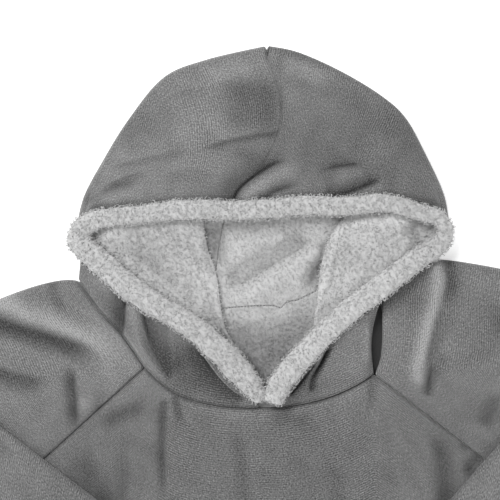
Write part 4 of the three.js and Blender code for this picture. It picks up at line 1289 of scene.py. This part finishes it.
class HOODIE_OT_sleeves(bpy.types.Operator):
    """Raglan sleeves, folded in over the front"""

    bl_idname = "hoodie.sleeves"
    bl_label = "Sleeves"

    def execute(self, context):
        for side, cut in (("left", SLEEVE_LEFT), ("right", SLEEVE_RIGHT)):
            piece = cloth(f"sleeve_{side}_cloth", *sleeve(cut), brushed_fleece(), ring=True, ribs_across=True)
            declare(piece, [f"sleeve_{side}"], flat=SLEEVE_CUT, area=0.205)
        return {"FINISHED"}


class HOODIE_OT_hood(bpy.types.Operator):
    """Outer fleece and pile lining of the hood, with its lower sides"""

    bl_idname = "hoodie.hood"
    bl_label = "Hood"

    def execute(self, context):
        fleece = brushed_fleece()
        for side, rows, seam, area in (("left", RIBS_LEFT, -1, 0.055), ("right", RIBS_RIGHT, 0, 0.063)):
            outer, inner, shown = hood_side(rows, seam)
            shell = cloth(f"hood_{side}_fleece", *outer, fleece, ribs_across=True)
            declare(shell, [f"hood_{side}"], flat=HOOD_CUT, area=area)
            pile_piece(f"lining_{side}", inner, shown, HOOD_CUT, area, 0.75)
        for side, rows, band_rows, outward, flat, area in (
            ("left", SIDE_LEFT, BAND_LEFT, 1, (0.24, 0.08), 0.0094),
            ("right", SIDE_RIGHT, BAND_RIGHT, -1, (0.13, 0.08), 0.0058),
        ):
            walls = lower_side(rows, band_rows, outward, flat[0] / MM)
            piece = cloth(f"hood_{side}_side_fleece", *walls, fleece)
            declare(piece, [f"hood_{side}_side"], flat=flat, area=area)
        return {"FINISHED"}


class HOODIE_OT_inner_lining(bpy.types.Operator):
    """The lining's folded side walls, and the body's lining inside the neck"""

    bl_idname = "hoodie.inner_lining"
    bl_label = "Inner Lining"

    def execute(self, context):
        for side, rows, climb, seed in (("left", FOLD_LEFT, 0.22, 71), ("right", FOLD_RIGHT, 0.2, 75)):
            *walls, shown = lining_fold(rows, climb, seed)
            pile_piece(f"lining_{side}_fold", walls, shown, FOLD_CUT, 0.011, 0.9)
        *walls, shown = neck_lining()
        pile_piece("lining_neck", walls, shown, (0.21, 0.14), 0.023, 0.75, held="laid")
        return {"FINISHED"}


class HOODIE_OT_band(bpy.types.Operator):
    """The pile band round the hood's edge, overlapped at the neck"""

    bl_idname = "hoodie.band"
    bl_label = "Pile Band"

    def execute(self, context):
        for side, rows, seed in (("left", BAND_LEFT, 81), ("right", BAND_RIGHT, 85)):
            *walls, shown = band(rows, seed)
            pile_piece(f"band_{side}", walls, shown, BAND_CUT, None, 1, patches=BAND_LIGHT_PATCHES, ring=True)
        return {"FINISHED"}


class HOODIE_OT_curls(bpy.types.Operator):
    """Curled locks of pile on the band and on the lining where it shows"""

    bl_idname = "hoodie.curls"
    bl_label = "Pile Curls"

    def execute(self, context):
        tree, locks = curl_tree(), pile_locks()
        for seed, (node, (flat, area, held, size)) in enumerate(PILE_PIECES.items(), 3):
            base = bpy.data.objects.get(f"{node}_pile")
            if base is None:
                raise RuntimeError(f"{node}_pile isn't built yet")
            curls = grown(f"{node}_curls", base, tree, {"Seed": seed, "Size": size, "Material": locks})
            declare(curls, [])
            declare(base, [node], flat=flat, area=area)
        return {"FINISHED"}


class HOODIE_OT_stitching(bpy.types.Operator):
    """Stitches of the nape seam, of the lining's centre seam and along the hood's edge"""

    bl_idname = "hoodie.stitching"
    bl_label = "Stitching"

    def execute(self, context):
        tree, thread = stitch_tree(), sewing_thread()
        nape, centre = nape_seam(), lining_seam()
        nape = nape[(nape[:, 0] > -44) & (nape[:, 0] < 58)]
        centre = centre[(centre[:, 1] > 316) & (centre[:, 1] < 371)]
        # Each line's name, points and stitches: pitch, length and thickness
        lines = [
            ("nape_stitches", [(*point, FLOOR_TOP + 0.1) for point in nape], (3.1, 1.8, 0.9)),
            ("lining_seam_stitches", [(*point, FLOOR_TOP + 0.2) for point in centre], (3.6, 2.4, 0.9)),
        ]
        for side, rows, seam in (("left", RIBS_LEFT, -1), ("right", RIBS_RIGHT, 0)):
            edge = hood_face(rows, mix(0.05, 0.95, spread(120)), seam)[0][:, EDGE_STITCH_MARK] + (0, 0, 0.1)
            lines.append((f"hood_{side}_edge_stitches", edge, (3.4, 2.2, 0.6)))
        for name, points, sizes in lines:
            line = seam_line(name + "_line", points)
            values = dict(zip(("Pitch", "Length", "Thickness"), (size * MM for size in sizes)))
            piece = grown(name, line, tree, {**values, "Material": thread})
            bpy.data.objects.remove(line)
            declare(piece, [])
        return {"FINISHED"}


class HOODIE_OT_stage(bpy.types.Operator):
    """Pale floor, soft light and the camera above the hood"""

    bl_idname = "hoodie.stage"
    bl_label = "Stage"

    def execute(self, context):
        scene = context.scene
        mesh = bpy.data.meshes.new("floor")
        corners = [(x * FLOOR_HALF, y * FLOOR_HALF, -FLOOR_DROP * MM) for x, y in ((-1, -1), (1, -1), (1, 1), (-1, 1))]
        mesh.from_pydata(corners, [], [(0, 1, 2, 3)])
        mesh.materials.append(paper_sweep())
        new_piece("floor", mesh)

        for name, place, size, power in SOFTBOXES:
            light = bpy.data.lights.new(name, "AREA")
            light.size, light.energy = size, power
            lamp = new_piece(name, light)
            lamp.location = place
            lamp.rotation_euler = (Vector(LIGHT_AIM) - Vector(place)).to_track_quat("-Z", "Y").to_euler()
            lamp.visible_camera = False
        world = bpy.data.worlds.new("soft_room")
        world.use_nodes = True
        glow = world.node_tree.nodes["Background"].inputs
        glow["Color"].default_value, glow["Strength"].default_value = (1, 1, 1, 1), ROOM_LIGHT
        scene.world = world
        scene.view_settings.view_transform = "Standard"

        lens = bpy.data.cameras.new("camera")
        lens.sensor_width = 36
        lens.lens = lens.sensor_width * VIEW_DISTANCE / VIEW_WIDTH
        scene.camera = new_piece("camera", lens)
        scene.camera.location = Vector((*VIEW_CENTRE, VIEW_LEVEL + VIEW_DISTANCE)) * MM
        return {"FINISHED"}


PIECES = (
    HOODIE_OT_stage,
    HOODIE_OT_body,
    HOODIE_OT_sleeves,
    HOODIE_OT_hood,
    HOODIE_OT_inner_lining,
    HOODIE_OT_band,
    HOODIE_OT_curls,
    HOODIE_OT_stitching,
)


class HOODIE_PT_panel(bpy.types.Panel):
    bl_idname = "HOODIE_PT_panel"
    bl_label = "Blanket Hoodie"
    bl_space_type = "VIEW_3D"
    bl_region_type = "UI"
    bl_category = "Hoodie"

    def draw(self, context):
        for group in (context.scene.hoodie_sizes, context.scene.hoodie_colours):
            for name in group.__annotations__:
                self.layout.prop(group, name)
        for piece in PIECES:
            self.layout.operator(piece.bl_idname)


CLASSES = (HoodieSizes, HoodieColours, *PIECES, HOODIE_PT_panel)


def register():
    for cls in CLASSES:
        bpy.utils.register_class(cls)
    bpy.types.Scene.hoodie_sizes = bpy.props.PointerProperty(type=HoodieSizes)
    bpy.types.Scene.hoodie_colours = bpy.props.PointerProperty(type=HoodieColours)


def unregister():
    del bpy.types.Scene.hoodie_colours
    del bpy.types.Scene.hoodie_sizes
    for cls in reversed(CLASSES):
        bpy.utils.unregister_class(cls)


def main():
    register()
    for piece in PIECES:
        area, name = piece.bl_idname.split(".")
        getattr(getattr(bpy.ops, area), name)()


if __name__ == "__main__":
    main()
